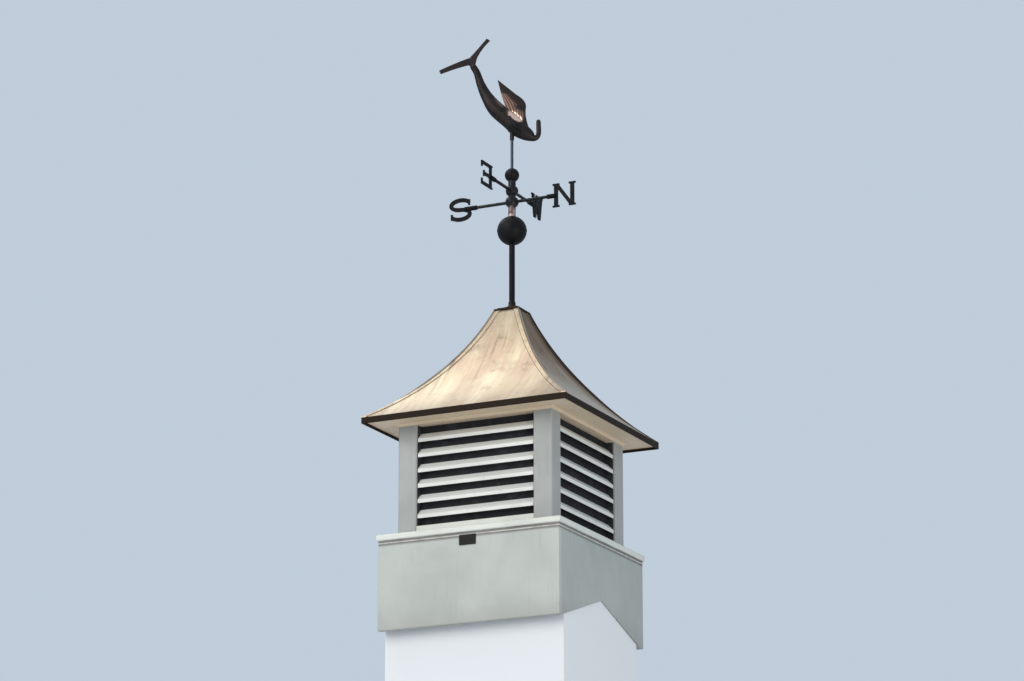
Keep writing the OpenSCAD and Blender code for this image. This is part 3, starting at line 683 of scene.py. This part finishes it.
def circle(radius, count):
    """Points round a circle, as pairs."""
    return [(math.cos(a) * radius, math.sin(a) * radius) for a in angles(count)]


def hexagon(radius, count):
    """Points round a hexagon, as pairs."""
    sector = math.pi / 3
    made = []
    for a in angles(count):
        reach = radius * math.cos(sector / 2) / math.cos(a % sector - sector / 2)
        made.append((math.cos(a) * reach, math.sin(a) * reach))
    return made


def sweep(bm, line, outline, frames, looped=False):
    """Draws an outline of (across, out) along a line whose frames give the across and out vectors."""
    rings = []
    for point, (across, out) in zip(line, frames):
        rings.append([point + across * a + out * b for a, b in outline])
    skin(bm, rings, looped)


def level_bead(bm, turns, reach, z, radius, sides, squash=1.0):
    """A level bead round the mast's axis. turns are the directions of its points, at a given reach."""
    outline = [(up * squash, out) for out, up in circle(radius, sides)]
    line = [Vector((x * reach, y * reach, z)) for x, y in turns]
    frames = [(UP, Vector((x, y, 0))) for x, y in turns]
    sweep(bm, line, outline, frames, looped=True)


def frame_along(direction):
    """Two unit vectors square to a direction."""
    direction = direction.normalized()
    helper = UP if abs(direction.z) < 0.9 else Vector((1, 0, 0))
    side = direction.cross(helper).normalized()
    return side, side.cross(direction).normalized()


def wire(bm, start, end, radius):
    """A straight four-sided wire."""
    side, up = frame_along(end - start)
    across = [side * a + up * b for a, b in circle(radius, 4)]
    skin(bm, [[start + p for p in across], [end + p for p in across]])


def head(bm, place, outward, layers):
    """A head on a face. Each layer is an outline round its axis, and its lift off the face."""
    place, outward = Vector(place), Vector(outward).normalized()
    side, up = frame_along(outward)
    skin(bm, [[place + outward * lift + side * a + up * b for a, b in outline]
              for outline, lift in layers])


def button(bm, place, outward, radius, height, sides=14, steps=4, sunk=0.0004):
    """A domed head, such as a nail's. Its foot is sunk into the face."""
    tip = 0.06
    layers = []
    for step in range(steps + 1):
        a = 0.5 * math.pi * step / steps
        lift = height * math.sin(a) if step else -sunk
        layers.append((circle(radius * max(math.cos(a), tip), sides), lift))
    head(bm, place, outward, layers)


def plug(bm, place, outward, radius, height):
    """A flat round plug with a soft edge, just proud of a board."""
    sunk = 0.0005
    shares = [(1.0, -sunk), (1.0, height * 0.4), (0.93, height), (0.4, height)]
    head(bm, place, outward, [(circle(radius * share, 24), lift) for share, lift in shares])


def socket_screw(bm, place, outward, radius, height):
    """A small screw with a six-sided recess."""
    outlines = [
        (circle, 1.0, -0.3), (circle, 1.0, 0.8), (circle, 0.88, 1.0), (hexagon, 0.55, 1.0),
        (hexagon, 0.50, 0.45)]
    layers = [(outline(radius * share, 18), height * lift) for outline, share, lift in outlines]
    head(bm, place, outward, layers)


def turned(point, side):
    """A point on the +X side, turned to another side."""
    return Matrix.Rotation(math.radians(SIDE_TURNS[side]), 3, "Z") @ Vector(point)


def curve_through(points, steps):
    """A smooth curve through points, with steps pieces between neighbours."""
    def at(i):
        return points[min(max(i, 0), len(points) - 1)]
    line = []
    for i in range(len(points) - 1):
        a, b, c, d = at(i - 1), at(i), at(i + 1), at(i + 2)
        for s in range(steps):
            t = s / steps
            line.append((2 * b + (c - a) * t + (2 * a - 5 * b + 4 * c - d) * t * t
                         + (3 * b - a - 3 * c + d) * t ** 3) * 0.5)
    return line + [points[-1]]


def joined_bends(places, t):
    """A point along joined bends. The places are a start, then a pull and an end for each bend."""
    count = (len(places) - 1) // 2
    i = min(int(t * count), count - 1)
    a, pull, b = places[2 * i:2 * i + 3]
    t = t * count - i
    return a * (1 - t) ** 2 + pull * 2 * t * (1 - t) + b * t * t


# Base, sill and louvred section


class CUPOLA_OT_base(Operator):
    """Base boards with plugged screws at their corners, and the small dark plate"""
    bl_idname = "cupola.base"
    bl_label = "Base boards"

    def execute(self, context):
        boards = context.scene.cupola.boards
        # Dirt and a painted shadow: a dark line on the boards just under the sill's nosing
        under_sill_dirt_and_shadow = (SILL_Z - 0.003, SILL_Z - 0.013, 0.85)
        finish = board_finish(
            "Base board", boards.board_colour, boards.grime_and_shadow_colour,
            roughness=0.44, runs=0.30, foot=0.35, line=under_sill_dirt_and_shadow)
        # Painted shade: the right and back boards take a darker copy of the board finish
        shaded_board = board_finish(
            "Shaded base board", boards.shaded_board_colour, boards.grime_and_shadow_colour,
            roughness=0.50, runs=0.40, foot=0.45, line=under_sill_dirt_and_shadow)
        clothe(finish, "base_front", "base_left")
        clothe(shaded_board, "base_right", "base_back")
        ease_edges(boards.edge_round, "base_front", "base_back", "base_left", "base_right")
        self.add_plugs(boards, finish)
        self.add_plate(boards)
        return {"FINISHED"}

    def add_plugs(self, boards, finish):
        """Plugs over the screws that hold the front and back boards to the side boards."""
        inset, low, high = 0.0095, 0.035, SILL_Z - 0.03
        proud = 0.0006
        bm = bmesh.new()
        for side in (-1, 1):
            for x in (-1, 1):
                for row in range(boards.plug_rows):
                    z = low + (high - low) * row / max(boards.plug_rows - 1, 1)
                    place = (x * (BASE_HALF - inset), side * BASE_HALF, z)
                    plug(bm, place, (0, side, 0), boards.plug_radius, proud)
        finish_piece("base_plugs", bm, finish)

    def add_plate(self, boards):
        """Dark plate under the sill, with a screw at each end."""
        finish = dark_copper_finish(
            "Plate paint", boards.plate_colour, boards.plate_edge_colour,
            radius=0.0008, wear=0.4, metallic=0.3, roughness=0.6, gloss=0.25)
        clothe(finish, "front_plate")
        ease_edges(0.0009, "front_plate")
        low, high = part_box("front_plate")
        inset, screw_radius, screw_height = 0.008, 0.0028, 0.0012
        bm = bmesh.new()
        for x in (low.x + inset, high.x - inset):
            button(bm, (x, low.y, (low.z + high.z) / 2), (0, -1, 0), screw_radius, screw_height)
        finish_piece("plate_screws", bm, finish)


class CUPOLA_OT_sill(Operator):
    """Mitred sill with sealant in its corners"""
    bl_idname = "cupola.sill"
    bl_label = "Sill"

    def execute(self, context):
        boards = context.scene.cupola.boards
        band_top = SILL_Z + SILL_BAND
        # Dirt and a painted shadow: a dark line on the sill's band just under its nosing
        under_nosing_dirt_and_shadow = (band_top - 0.001, band_top + 0.003, 0.90)
        finish = board_finish(
            "Sill moulding", boards.sill_colour, boards.grime_and_shadow_colour,
            roughness=0.40, runs=0.14, line=under_nosing_dirt_and_shadow)
        names = ["sill_front", "sill_back", "sill_left", "sill_right"]
        clothe(finish, *names)
        ease_edges(boards.edge_round * 0.5, *names)
        self.add_seal(boards)
        return {"FINISHED"}

    def add_seal(self, boards):
        """Sealant where the posts and rails stand on the sill, and where the sill meets the base."""
        bm = bmesh.new()
        for half, z in ((SECTION_HALF, SECTION_Z), (BASE_HALF, SILL_Z)):
            level_bead(bm, CORNERS, half, z, boards.seal_radius, sides=8)
        finish_piece("sill_seal", bm, seal_finish("Sealant", boards))


class CUPOLA_OT_section(Operator):
    """Corner posts, rails, louvres and the bed mould under the eave"""
    bl_idname = "cupola.section"
    bl_label = "Louvred section"

    def execute(self, context):
        boards = context.scene.cupola.boards
        posts = ["post_front_left", "post_front_right", "post_back_left", "post_back_right"]
        louvres = ["louvre_front", "louvre_back", "louvre_left", "louvre_right"]
        # Painted shade: the posts take a darker colour for the eave's shade, and the rails and bed
        # mould under the eave the soffit's painted shade
        for name, colour, roughness, runs, nodes in (
                ("Post", boards.shaded_post_colour, 0.46, 0.30, posts),
                ("Louvre blade", boards.louvre_colour, 0.38, 0.14, louvres),
                ("White moulding", boards.sill_colour, 0.42, 0.10, ["bottom_rails"]),
                ("Shaded moulding", boards.shaded_band_colour, 0.46, 0.10, ["top_rails", "bed_mould"])):
            clothe(board_finish(name, colour, boards.grime_and_shadow_colour, roughness, runs), *nodes)
        ease_edges(boards.edge_round * 0.6, *posts, *louvres, "bottom_rails")
        return {"FINISHED"}


class CUPOLA_OT_screens(Operator):
    """Insect screens behind the louvres, with their wires"""
    bl_idname = "cupola.screens"
    bl_label = "Insect screens"

    def execute(self, context):
        screens = context.scene.cupola.screens
        finish = screen_finish("Screen mesh", screens.colour, screens.wire_pitch)
        clothe(finish, "insect_screens")
        bm = bmesh.new()
        low, high = SCREEN_LOW_Z, SCREEN_HIGH_Z
        radius, pitch = screens.wire_radius, screens.wire_pitch
        over_uprights = 1.6
        upright_x = SCREEN_FACE + radius
        level_x = upright_x + over_uprights * radius
        uprights = int(2 * OPENING_HALF / pitch)
        levels = int((high - low) / pitch)
        for side in SIDE_TURNS:
            for i in range(1, uprights):
                y = -OPENING_HALF + 2 * OPENING_HALF * i / uprights
                wire(bm, turned((upright_x, y, low), side), turned((upright_x, y, high), side), radius)
            for i in range(1, levels):
                z = low + (high - low) * i / levels
                start, end = [turned((level_x, s * OPENING_HALF, z), side) for s in (-1, 1)]
                wire(bm, start, end, radius)
        finish_piece("screen_wires", bm, finish, crease=100.0)
        return {"FINISHED"}


class CUPOLA_OT_eave(Operator):
    """Soffit and the dark edge of the eave with its rolled hem, both coloured with painted shade"""
    bl_idname = "cupola.eave"
    bl_label = "Eave"

    def execute(self, context):
        boards, roof = context.scene.cupola.boards, context.scene.cupola.roof
        # Painted shade and copper-coloured bounce light on the soffit
        soffit = board_finish(
            "Shaded soffit board", boards.shaded_band_colour, boards.grime_and_shadow_colour, roughness=0.5, runs=0.0)
        clothe(soffit, "soffit")
        # Painted shade: the eave's edge and its hem are nearly black
        edge = dark_copper_finish(
            "Shaded eave copper", roof.shaded_edge_colour, roof.worn_eave_colour,
            radius=0.0012, wear=0.3, metallic=0.3, roughness=0.68, gloss=0.2)
        clothe(edge, "eave_trim")
        bm = bmesh.new()
        radius = roof.hem_radius
        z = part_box("eave_trim")[0].z + radius * 0.2
        level_bead(bm, CORNERS, ROOF_HALF - radius, z, radius, sides=12)
        finish_piece("eave_hem", bm, edge)
        return {"FINISHED"}


# Roof


def roof_half_width(roof, z):
    """Half width of the roof at a height, on its hollow curve."""
    run, rise = ROOF_HALF - roof.peak_half, PEAK_Z - EAVE_Z
    chord = math.hypot(run, rise)
    out = math.sqrt(roof.curve_radius ** 2 - chord ** 2 / 4)
    centre_x = (ROOF_HALF + roof.peak_half) / 2 + rise / chord * out
    centre_z = (PEAK_Z + EAVE_Z) / 2 + run / chord * out
    return centre_x - math.sqrt(roof.curve_radius ** 2 - (z - centre_z) ** 2)


def roof_lean(roof, z):
    """How fast the roof's half width grows with height, a number below nought."""
    step = 0.001
    low, high = z - step, min(z + step, PEAK_Z)
    return (roof_half_width(roof, high) - roof_half_width(roof, low)) / (high - low)


def hip_line(roof, steps, start):
    """Points up a hip as (reach, height) in its diagonal plane, from a start above the eave."""
    heights = [EAVE_Z + start + (PEAK_Z - EAVE_Z - start) * i / steps for i in range(steps + 1)]
    return [(roof_half_width(roof, z) * math.sqrt(2), z) for z in heights]


class CUPOLA_OT_roof(Operator):
    """Copper roof panels, the folded seams and nails on the hips, and the timber block inside"""
    bl_idname = "cupola.roof"
    bl_label = "Copper roof"

    def execute(self, context):
        roof = context.scene.cupola.roof
        # Painted shade: the right and back panels are a darker, browner shaded copy of the copper, and
        # the hip caps go dark towards the back right hip
        sunny = copper_finish("Sunny copper", roof, roof.brown_and_shade_colour, top=0.14, hips=0.30)
        shaded = copper_finish(
            "Shaded copper", roof, roof.brown_and_shade_colour, upper_shade=0.42, top=0.35, far=0.5, far_hip_shade=0.6)
        hips = copper_finish("Hip copper", roof, roof.hip_dark_and_shade_colour, far=0.98, hips=0.05)
        clothe(sunny, "roof_front", "roof_left")
        clothe(shaded, "roof_right", "roof_back")
        clothe(hips, "hip_caps")
        clothe(timber_finish("Sawn timber", roof), "peak_block")
        self.add_seams(roof, hips)
        self.add_nails(roof, hips)
        return {"FINISHED"}

    def add_seams(self, roof, finish):
        """Folded seams that are dressed down flat towards the eave."""
        half, height = roof.seam_width / 2, roof.seam_height
        cap = HIP_CAP_THICKNESS
        right = [(half, 0.0), (half, cap + height * 0.75), (half * 0.6, cap + height)]
        outline = [(-across, out) for across, out in right] + right[::-1]
        line = hip_line(roof, steps=48, start=0.006)
        bm = bmesh.new()
        for x, y in CORNERS:
            diagonal = Vector((x, y, 0)).normalized()
            across = Vector((-y, x, 0)).normalized()
            points = [diagonal * reach + UP * z for reach, z in line]
            frames = []
            for reach, z in line:
                lift = min((z - EAVE_Z) / roof.seam_fade, 1.0)
                out = diagonal - UP * roof_lean(roof, z) * math.sqrt(2)
                frames.append((across, out.normalized() * lift))
            sweep(bm, points, outline, frames)
        finish_piece("hip_seams", bm, finish, crease=50.0)

    def add_nails(self, roof, finish):
        """Nails through the hip caps, on both sides of each hip."""
        inset, nail_height = 0.0075, 0.0011
        bm = bmesh.new()
        travelled = roof.nail_pitch
        last = None
        for reach, z in hip_line(roof, steps=400, start=0.02):
            here = Vector((reach, z))
            travelled += (here - last).length if last else 0.0
            last = here
            if travelled < roof.nail_pitch:
                continue
            travelled = 0.0
            half = roof_half_width(roof, z)
            outward = Vector((1.0, 0.0, -roof_lean(roof, z))).normalized()
            for side in SIDE_TURNS:
                for s in (-1, 1):
                    place = Vector((half, s * (half - inset), z)) + outward * HIP_CAP_THICKNESS
                    button(bm, turned(place, side), turned(outward, side), roof.nail_radius,
                           nail_height, sides=10, steps=3)
        finish_piece("hip_nails", bm, finish)


class CUPOLA_OT_peak(Operator):
    """Square cap on the peak with its rivets, and the collar at the foot of the mast"""
    bl_idname = "cupola.peak"
    bl_label = "Peak cap and collar"

    def execute(self, context):
        roof = context.scene.cupola.roof
        # Painted shade: the cap and the collar are nearly black
        finish = dark_copper_finish(
            "Shaded cap copper", roof.shaded_edge_colour, roof.worn_cap_colour,
            radius=0.0012, wear=0.4, metallic=0.5, roughness=0.60, gloss=0.3)
        clothe(finish, "peak_cap", "mast_collar")
        ease_edges(0.0008, "peak_cap")
        bm = bmesh.new()
        low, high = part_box("mast_collar")
        solder_up, solder_radius = 0.0004, 0.0016
        level_bead(bm, circle(1.0, 72), high.x, low.z + solder_up, solder_radius, sides=10,
                   squash=0.8)
        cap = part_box("peak_cap")[1]
        inset, rivet_radius, rivet_height = 0.0155, 0.0026, 0.0013
        for x, y in CORNERS:
            place = (x * (cap.x - inset), y * (cap.y - inset), cap.z)
            button(bm, place, UP, rivet_radius, rivet_height)
        finish_piece("cap_solder", bm, finish)
        return {"FINISHED"}


# Mast and compass


class CUPOLA_OT_mast(Operator):
    """Mast tube, spindle, and the globe and knob with the seams round them"""
    bl_idname = "cupola.mast"
    bl_label = "Mast and globe"

    def execute(self, context):
        mast = context.scene.cupola.mast
        finish = dark_copper_finish(
            "Mast bronze", mast.bronze_colour, mast.worn_colour,
            radius=0.001, wear=0.25, metallic=0.5, roughness=0.60, gloss=0.3)
        clothe(finish, "mast_tube", "globe", "knob")
        clothe(steel_finish("Spindle steel", mast.steel_colour), "spindle")
        finest_bead = 0.0009
        bm = bmesh.new()
        for name in ("globe", "knob"):
            low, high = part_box(name)
            share = high.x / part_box("globe")[1].x
            bead = max(mast.seam_width / 2 * share, finest_bead)
            reach = high.x - bead + mast.seam_proud * share
            level_bead(bm, circle(1.0, 96), reach, (low.z + high.z) / 2, bead, sides=10)
        finish_piece("ball_seams", bm, finish)
        return {"FINISHED"}


class CUPOLA_OT_compass(Operator):
    """Compass hubs, arms and letters with their set screws"""
    bl_idname = "cupola.compass"
    bl_label = "Compass"

    def execute(self, context):
        mast = context.scene.cupola.mast
        clothe(hub_finish("Hub copper", mast), "compass_arm_ns", "compass_arm_ew")
        letters = dark_copper_finish(
            "Letter bronze", mast.bronze_colour, mast.worn_colour,
            radius=0.001, wear=0.25, metallic=0.5, roughness=0.64, gloss=0.25)
        clothe(letters, "letters_ns", "letters_ew")
        ease_edges(0.0007, "letters_ns", "letters_ew")
        socket_radius, socket_reach, screw_height = 0.0082, 0.145, 0.0016
        bm = bmesh.new()
        arms = [("letters_ns", Vector((1, 0, 0))), ("letters_ew", Vector((0, 1, 0)))]
        for s in (-1, 1):
            for name, along in arms:
                low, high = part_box(name)
                across = Vector((-along.y, along.x, 0))
                place = along * s * socket_reach + UP * (low.z + high.z) / 2
                place -= across * socket_radius
                socket_screw(bm, place, -across, mast.screw_radius, screw_height)
        finish_piece("socket_screws", bm, letters)
        return {"FINISHED"}


# Weathervane figure


# Middle line of the body from tail to bill: forward, up, half height, in millimetres
BODY_LINE = [
    (-140, 268, 11.5), (-122, 238, 12.0), (-108, 195, 15.0), (-87, 150, 20.5), (-56, 105, 28.0),
    (-12, 66, 30.0), (24, 31, 29.5), (55, 10, 22.5), (75, -1, 12.5), (87, 3, 9.0), (92, 16, 8.5),
    (92, 39, 8.5), (91, 66, 7.5)]


def figure_point(figure, forward, across, up):
    """A point of the figure, given in millimetres in its own upright plane, at its heading."""
    turn = Matrix.Rotation(figure.heading, 3, "Z")
    return turn @ Vector((forward * MM, across * MM, up * MM)) + UP * BELLY_Z


def skin_relief(along, a):
    """Share by which the body's skin stands out: gill covers, lateral lines and a keel by the tail.

    along counts the points of the middle line, and a is the angle round the body from its underside.
    """
    flank, down = abs(math.sin(a)), math.cos(a)
    cover_edge = 6.55 - 0.55 * (1 - flank) - 0.25 * down
    cover_rise, cover_length, groove, groove_length = 0.035, 0.22, 0.03, 0.25
    behind = cover_edge - along
    if behind < 0:
        cover = cover_rise * max(0.0, 1 + behind / cover_length)
    else:
        cover = -groove * max(0.0, 1 - behind / groove_length)
    line_rise, line_down, line_width = 0.014, -0.12, 0.07
    lateral = line_rise * math.exp(-((down - line_down) / line_width) ** 2)
    if not 1.2 < along < 6.2:
        lateral = 0.0
    keel_rise, keel_at, keel_length = 0.30, 0.35, 0.5
    keel = keel_rise * math.exp(-((along - keel_at) / keel_length) ** 2) * flank ** 8
    return 1.0 + cover * flank + lateral + keel


def body_rings(figure, steps, sides):
    """Rings of points round the body's middle line. Its two ends are rounded."""
    line = curve_through([Vector(p) for p in BODY_LINE], steps)
    last = len(line) - 1
    least_end = 0.02
    rings = []
    for i, point in enumerate(line):
        ahead, behind = line[min(i + 1, last)], line[max(i - 1, 0)]
        heading = Vector((ahead.x - behind.x, ahead.y - behind.y)).normalized()
        from_end = min((point - line[0]).length, (point - line[-1]).length) / point.z
        rounding = math.sqrt(1.0 - (1.0 - min(max(from_end, least_end), 1.0)) ** 2)
        ring = []
        for a in angles(sides):
            half = point.z * skin_relief(i / steps, a) * rounding
            down, flank = math.cos(a), math.sin(a)
            ring.append(figure_point(
                figure, point.x + heading.y * half * down, half * figure.fullness * flank,
                point.y - heading.x * half * down))
        rings.append(ring)
    return rings


def fin_sheet(bm, place, lead, trail, thickness, rays, steps, columns):
    """A lens-shaped fin between a leading and a trailing edge, ribbed with rays from root to tip.

    place turns a point of the fin, in millimetres, into a place on the cupola.
    """
    thinnest, taper, ribbing = 0.35, 0.55, 0.16
    rings = []
    for i in range(steps + 1):
        t = i / steps
        near, far = [], []
        for k in range(columns + 1):
            u = k / columns
            point = lead(t).lerp(trail(t), u)
            lens = math.sqrt(max(4 * u * (1 - u), 0.0))
            ridge = 1.0 + ribbing * math.cos(2 * math.pi * rays * u)
            half = max(thickness / MM / 2 * lens * (1.0 - taper * t) * ridge, thinnest)
            near.append(place(point.x, -half, point.y))
            far.append(place(point.x, half, point.y))
        rings.append(near + far[::-1])
    skin(bm, rings)


class CUPOLA_OT_figure(Operator):
    """Leaping fish: body, tail, back fin, side fins and eyes"""
    bl_idname = "cupola.figure"
    bl_label = "Weathervane figure"

    def execute(self, context):
        figure = context.scene.cupola.figure
        skin_finish = figure_finish("Fish copper", figure, 0.36)
        fin_finish = figure_finish("Fin copper", figure, 0.30)
        clothe(fin_finish, "vane_sleeve")
        self.add_body(figure, skin_finish)
        self.add_eyes(figure, fin_finish)
        self.add_tail(figure, fin_finish)
        self.add_back_fin(figure, fin_finish)
        self.add_side_fins(figure, fin_finish)
        return {"FINISHED"}

    def add_body(self, figure, finish):
        bm = bmesh.new()
        skin(bm, body_rings(figure, steps=14, sides=56))
        finish_piece("fish_form", bm, finish, "vane", ["fish_body"], crease=70.0)

    def add_eyes(self, figure, finish):
        """Domed eyes, each with a raised rim."""
        forward, up, out = 64.0, 8.0, 13.4
        rim, rim_share, dome, sunk = 0.0007, 1.15, 0.55, 0.002
        radius = figure.eye_radius
        bm = bmesh.new()
        for s in (-1, 1):
            place = figure_point(figure, forward, s * out, up)
            outward = (figure_point(figure, forward, s * (out + 1), up) - place).normalized()
            button(bm, place, outward, radius, radius * dome, sides=20, steps=6, sunk=sunk)
            side, lift = frame_along(outward)
            spokes = [side * a + lift * b for a, b in circle(1.0, 24)]
            ring = [place + spoke * radius * rim_share for spoke in spokes]
            frames = [(spoke, outward) for spoke in spokes]
            sweep(bm, ring, circle(rim, 6), frames, looped=True)
        finish_piece("fish_eyes", bm, finish, "vane")

    def shaped_fin(self, bm, figure, root, size, lead, trail, rays, steps, columns):
        """A fin between two edges of joined bends, given as shares of its size from its root."""
        def place(forward, across, up):
            return figure_point(figure, forward, across, up)

        def edge(shares):
            places = [Vector(root) + Vector(share) * size for share in shares]
            return lambda t: joined_bends(places, t)
        fin_sheet(bm, place, edge(lead), edge(trail), figure.fin_thickness, rays, steps, columns)

    def add_tail(self, figure, finish):
        """Two lobes that part at the end of the body, each rooted in the stalk."""
        notch, low_foot, high_foot = (-0.048, 0.034), (-0.063, -0.097), (0.078, 0.024)
        lobes = [
            ([(0.010, -0.140), (-0.026, -0.118), low_foot, (-0.256, -0.145), (-0.527, -0.256)],
             [(0.040, 0.030), (-0.004, 0.032), notch, (-0.256, -0.039), (-0.556, -0.190)]),
            ([(-0.030, -0.140), (-0.040, -0.055), notch, (0.068, 0.164), (0.240, 0.382)],
             [(0.048, -0.106), (0.063, -0.041), high_foot, (0.155, 0.198), (0.300, 0.342)])]
        bm = bmesh.new()
        for lead, trail in lobes:
            self.shaped_fin(bm, figure, (-138, 285), 207.0, lead, trail, rays=3, steps=44,
                            columns=24)
        finish_piece("tail_form", bm, finish, "vane", ["tail_fin"], crease=75.0)

    def add_back_fin(self, figure, finish):
        lead = [(0.294, -0.100), (0.200, 0.129), (0.224, 0.329), (0.259, 0.494), (0.024, 0.635),
                (-0.153, 0.788), (-0.348, 0.948)]
        trail = [(-0.094, 0.094), (-0.124, 0.194), (-0.153, 0.294), (-0.200, 0.383),
                 (-0.250, 0.547), (-0.300, 0.712), (-0.352, 0.945)]
        bm = bmesh.new()
        self.shaped_fin(bm, figure, (10, 50), 170.0, lead, trail, rays=7, steps=48, columns=56)
        finish_piece("back_fin_form", bm, finish, "vane", ["back_fin"], crease=75.0)

    def add_side_fins(self, figure, finish):
        """A fin on each flank that stands out level and leans down towards its front edge."""
        root, tilt = Vector((18, 24)), math.radians(36.0)
        lead = [Vector((16, 12)), Vector((16, 44)), Vector((-38, 73))]
        trail = [Vector((-22, 12)), Vector((-20, 44)), Vector((-40, 71))]
        bm = bmesh.new()
        for s in (-1, 1):
            def place(forward, lift, out):
                x = forward * math.cos(tilt) + lift * math.sin(tilt)
                z = -forward * math.sin(tilt) + lift * math.cos(tilt)
                return figure_point(figure, root.x + x, s * out, root.y + z)
            fin_sheet(bm, place, lambda t: joined_bends(lead, t), lambda t: joined_bends(trail, t),
                      figure.side_fin_thickness, rays=5, steps=28, columns=30)
        finish_piece("side_fin_forms", bm, finish, "vane", ["side_fins"], crease=75.0)


# Stage


def aim(thing, direction):
    """Turns a camera or a lamp to look along a direction."""
    thing.rotation_euler = direction.to_track_quat("-Z", "Y").to_euler()


class CUPOLA_OT_stage(Operator):
    """Camera, floor, stand, lamps and backdrop"""
    bl_idname = "cupola.stage"
    bl_label = "Stage"

    def execute(self, context):
        stage = context.scene.cupola.stage
        self.add_camera(context, stage)
        self.add_floor(stage)
        self.add_stand(stage)
        self.add_lamps()
        self.set_world(context, stage)
        context.scene.view_settings.view_transform = "Standard"
        return {"FINISHED"}

    def add_camera(self, context, stage):
        data = bpy.data.cameras.new("camera")
        data.lens = stage.lens
        data.sensor_width = 36.0
        data.clip_end = 2.5 * stage.floor_radius
        camera = bpy.data.objects.new("camera", data)
        x, y = math.sin(stage.azimuth), -math.cos(stage.azimuth)
        camera.location = (x * stage.distance, y * stage.distance, -stage.eye_drop)
        aim(camera, UP * stage.aim_height - camera.location)
        context.scene.collection.objects.link(camera)
        context.scene.camera = camera

    def add_floor(self, stage):
        bm = bmesh.new()
        bmesh.ops.create_circle(bm, cap_ends=True, segments=128, radius=stage.floor_radius)
        self.stage_piece("floor", bm, stage, stage.floor_drop)

    def add_stand(self, stage):
        """A plain stand whose ridged top fills the V of the side boards."""
        ridge_gap, end_gap = 0.001, 0.006
        slope = math.tan(SADDLE_ANGLE)
        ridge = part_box("base_right")[1].y * slope - ridge_gap
        half, side, low = BASE_HALF - end_gap, stage.stand_half, -stage.floor_drop
        eave = ridge - side * slope
        outline = [(-side, low), (side, low), (side, eave), (0.0, ridge), (-side, eave)]
        bm = bmesh.new()
        skin(bm, [[(x, y, z) for y, z in outline] for x in (-half, half)])
        bmesh.ops.recalc_face_normals(bm, faces=bm.faces)
        self.stage_piece("stand", bm, stage, 0.0)

    def stage_piece(self, name, bm, stage, drop):
        mesh = bpy.data.meshes.new(name)
        bm.to_mesh(mesh)
        bm.free()
        mesh.transform(Matrix.Translation((0, 0, -drop)))
        mesh.materials.append(stage_finish(name.capitalize(), stage.floor_colour))
        made = bpy.data.objects.new(name, mesh)
        bpy.context.scene.collection.objects.link(made)

    def add_lamps(self):
        """A broad key from the front left, a large panel overhead and a weaker one from the right."""
        aimed_at = Vector((0, 0, 1.0))
        lamps = [
            ("key", (-0.27, -0.85, 0.37), 9.0, 6.0, 450.0, (1.0, 0.955, 0.88)),
            ("overhead", (-0.42, 0.05, 0.90), 6.0, 5.2, 186.0, (1.0, 0.97, 0.93)),
            ("right_fill", (0.85, -0.48, -0.20), 9.0, 4.0, 240.0, (1.0, 0.96, 0.89)),
        ]
        for name, direction, away, size, power, colour in lamps:
            data = bpy.data.lights.new(name, "AREA")
            data.shape = "SQUARE"
            data.size = size
            data.energy = power
            data.color = colour
            lamp = bpy.data.objects.new(name, data)
            outward = Vector(direction).normalized()
            lamp.location = aimed_at + outward * away
            aim(lamp, -outward)
            bpy.context.scene.collection.objects.link(lamp)

    def set_world(self, context, stage):
        world = bpy.data.worlds.new("backdrop")
        world.use_nodes = True
        background = world.node_tree.nodes["Background"]
        background.inputs["Color"].default_value = rgba(stage.sky_colour)
        background.inputs["Strength"].default_value = 0.8
        context.scene.world = world


class CUPOLA_PT_panel(Panel):
    """Buttons that dress each part of the cupola"""
    bl_idname = "CUPOLA_PT_panel"
    bl_label = "Cupola"
    bl_space_type = "VIEW_3D"
    bl_region_type = "UI"
    bl_category = "Cupola"

    def draw(self, context):
        for operator in OPERATORS:
            self.layout.operator(operator.bl_idname)


OPERATORS = (
    CUPOLA_OT_stage, CUPOLA_OT_base, CUPOLA_OT_sill, CUPOLA_OT_section, CUPOLA_OT_screens,
    CUPOLA_OT_eave, CUPOLA_OT_roof, CUPOLA_OT_peak, CUPOLA_OT_mast, CUPOLA_OT_compass,
    CUPOLA_OT_figure)
CLASSES = (
    BoardSettings, ScreenSettings, RoofSettings, MastSettings, FigureSettings, StageSettings,
    CupolaSettings, *OPERATORS, CUPOLA_PT_panel)


def register():
    for kind in CLASSES:
        bpy.utils.register_class(kind)
    bpy.types.Scene.cupola = PointerProperty(type=CupolaSettings)


def unregister():
    del bpy.types.Scene.cupola
    for kind in reversed(CLASSES):
        bpy.utils.unregister_class(kind)


def main():
    register()
    for operator in OPERATORS:
        group, name = operator.bl_idname.split(".")
        getattr(getattr(bpy.ops, group), name)()


if __name__ == "__main__":
    main()
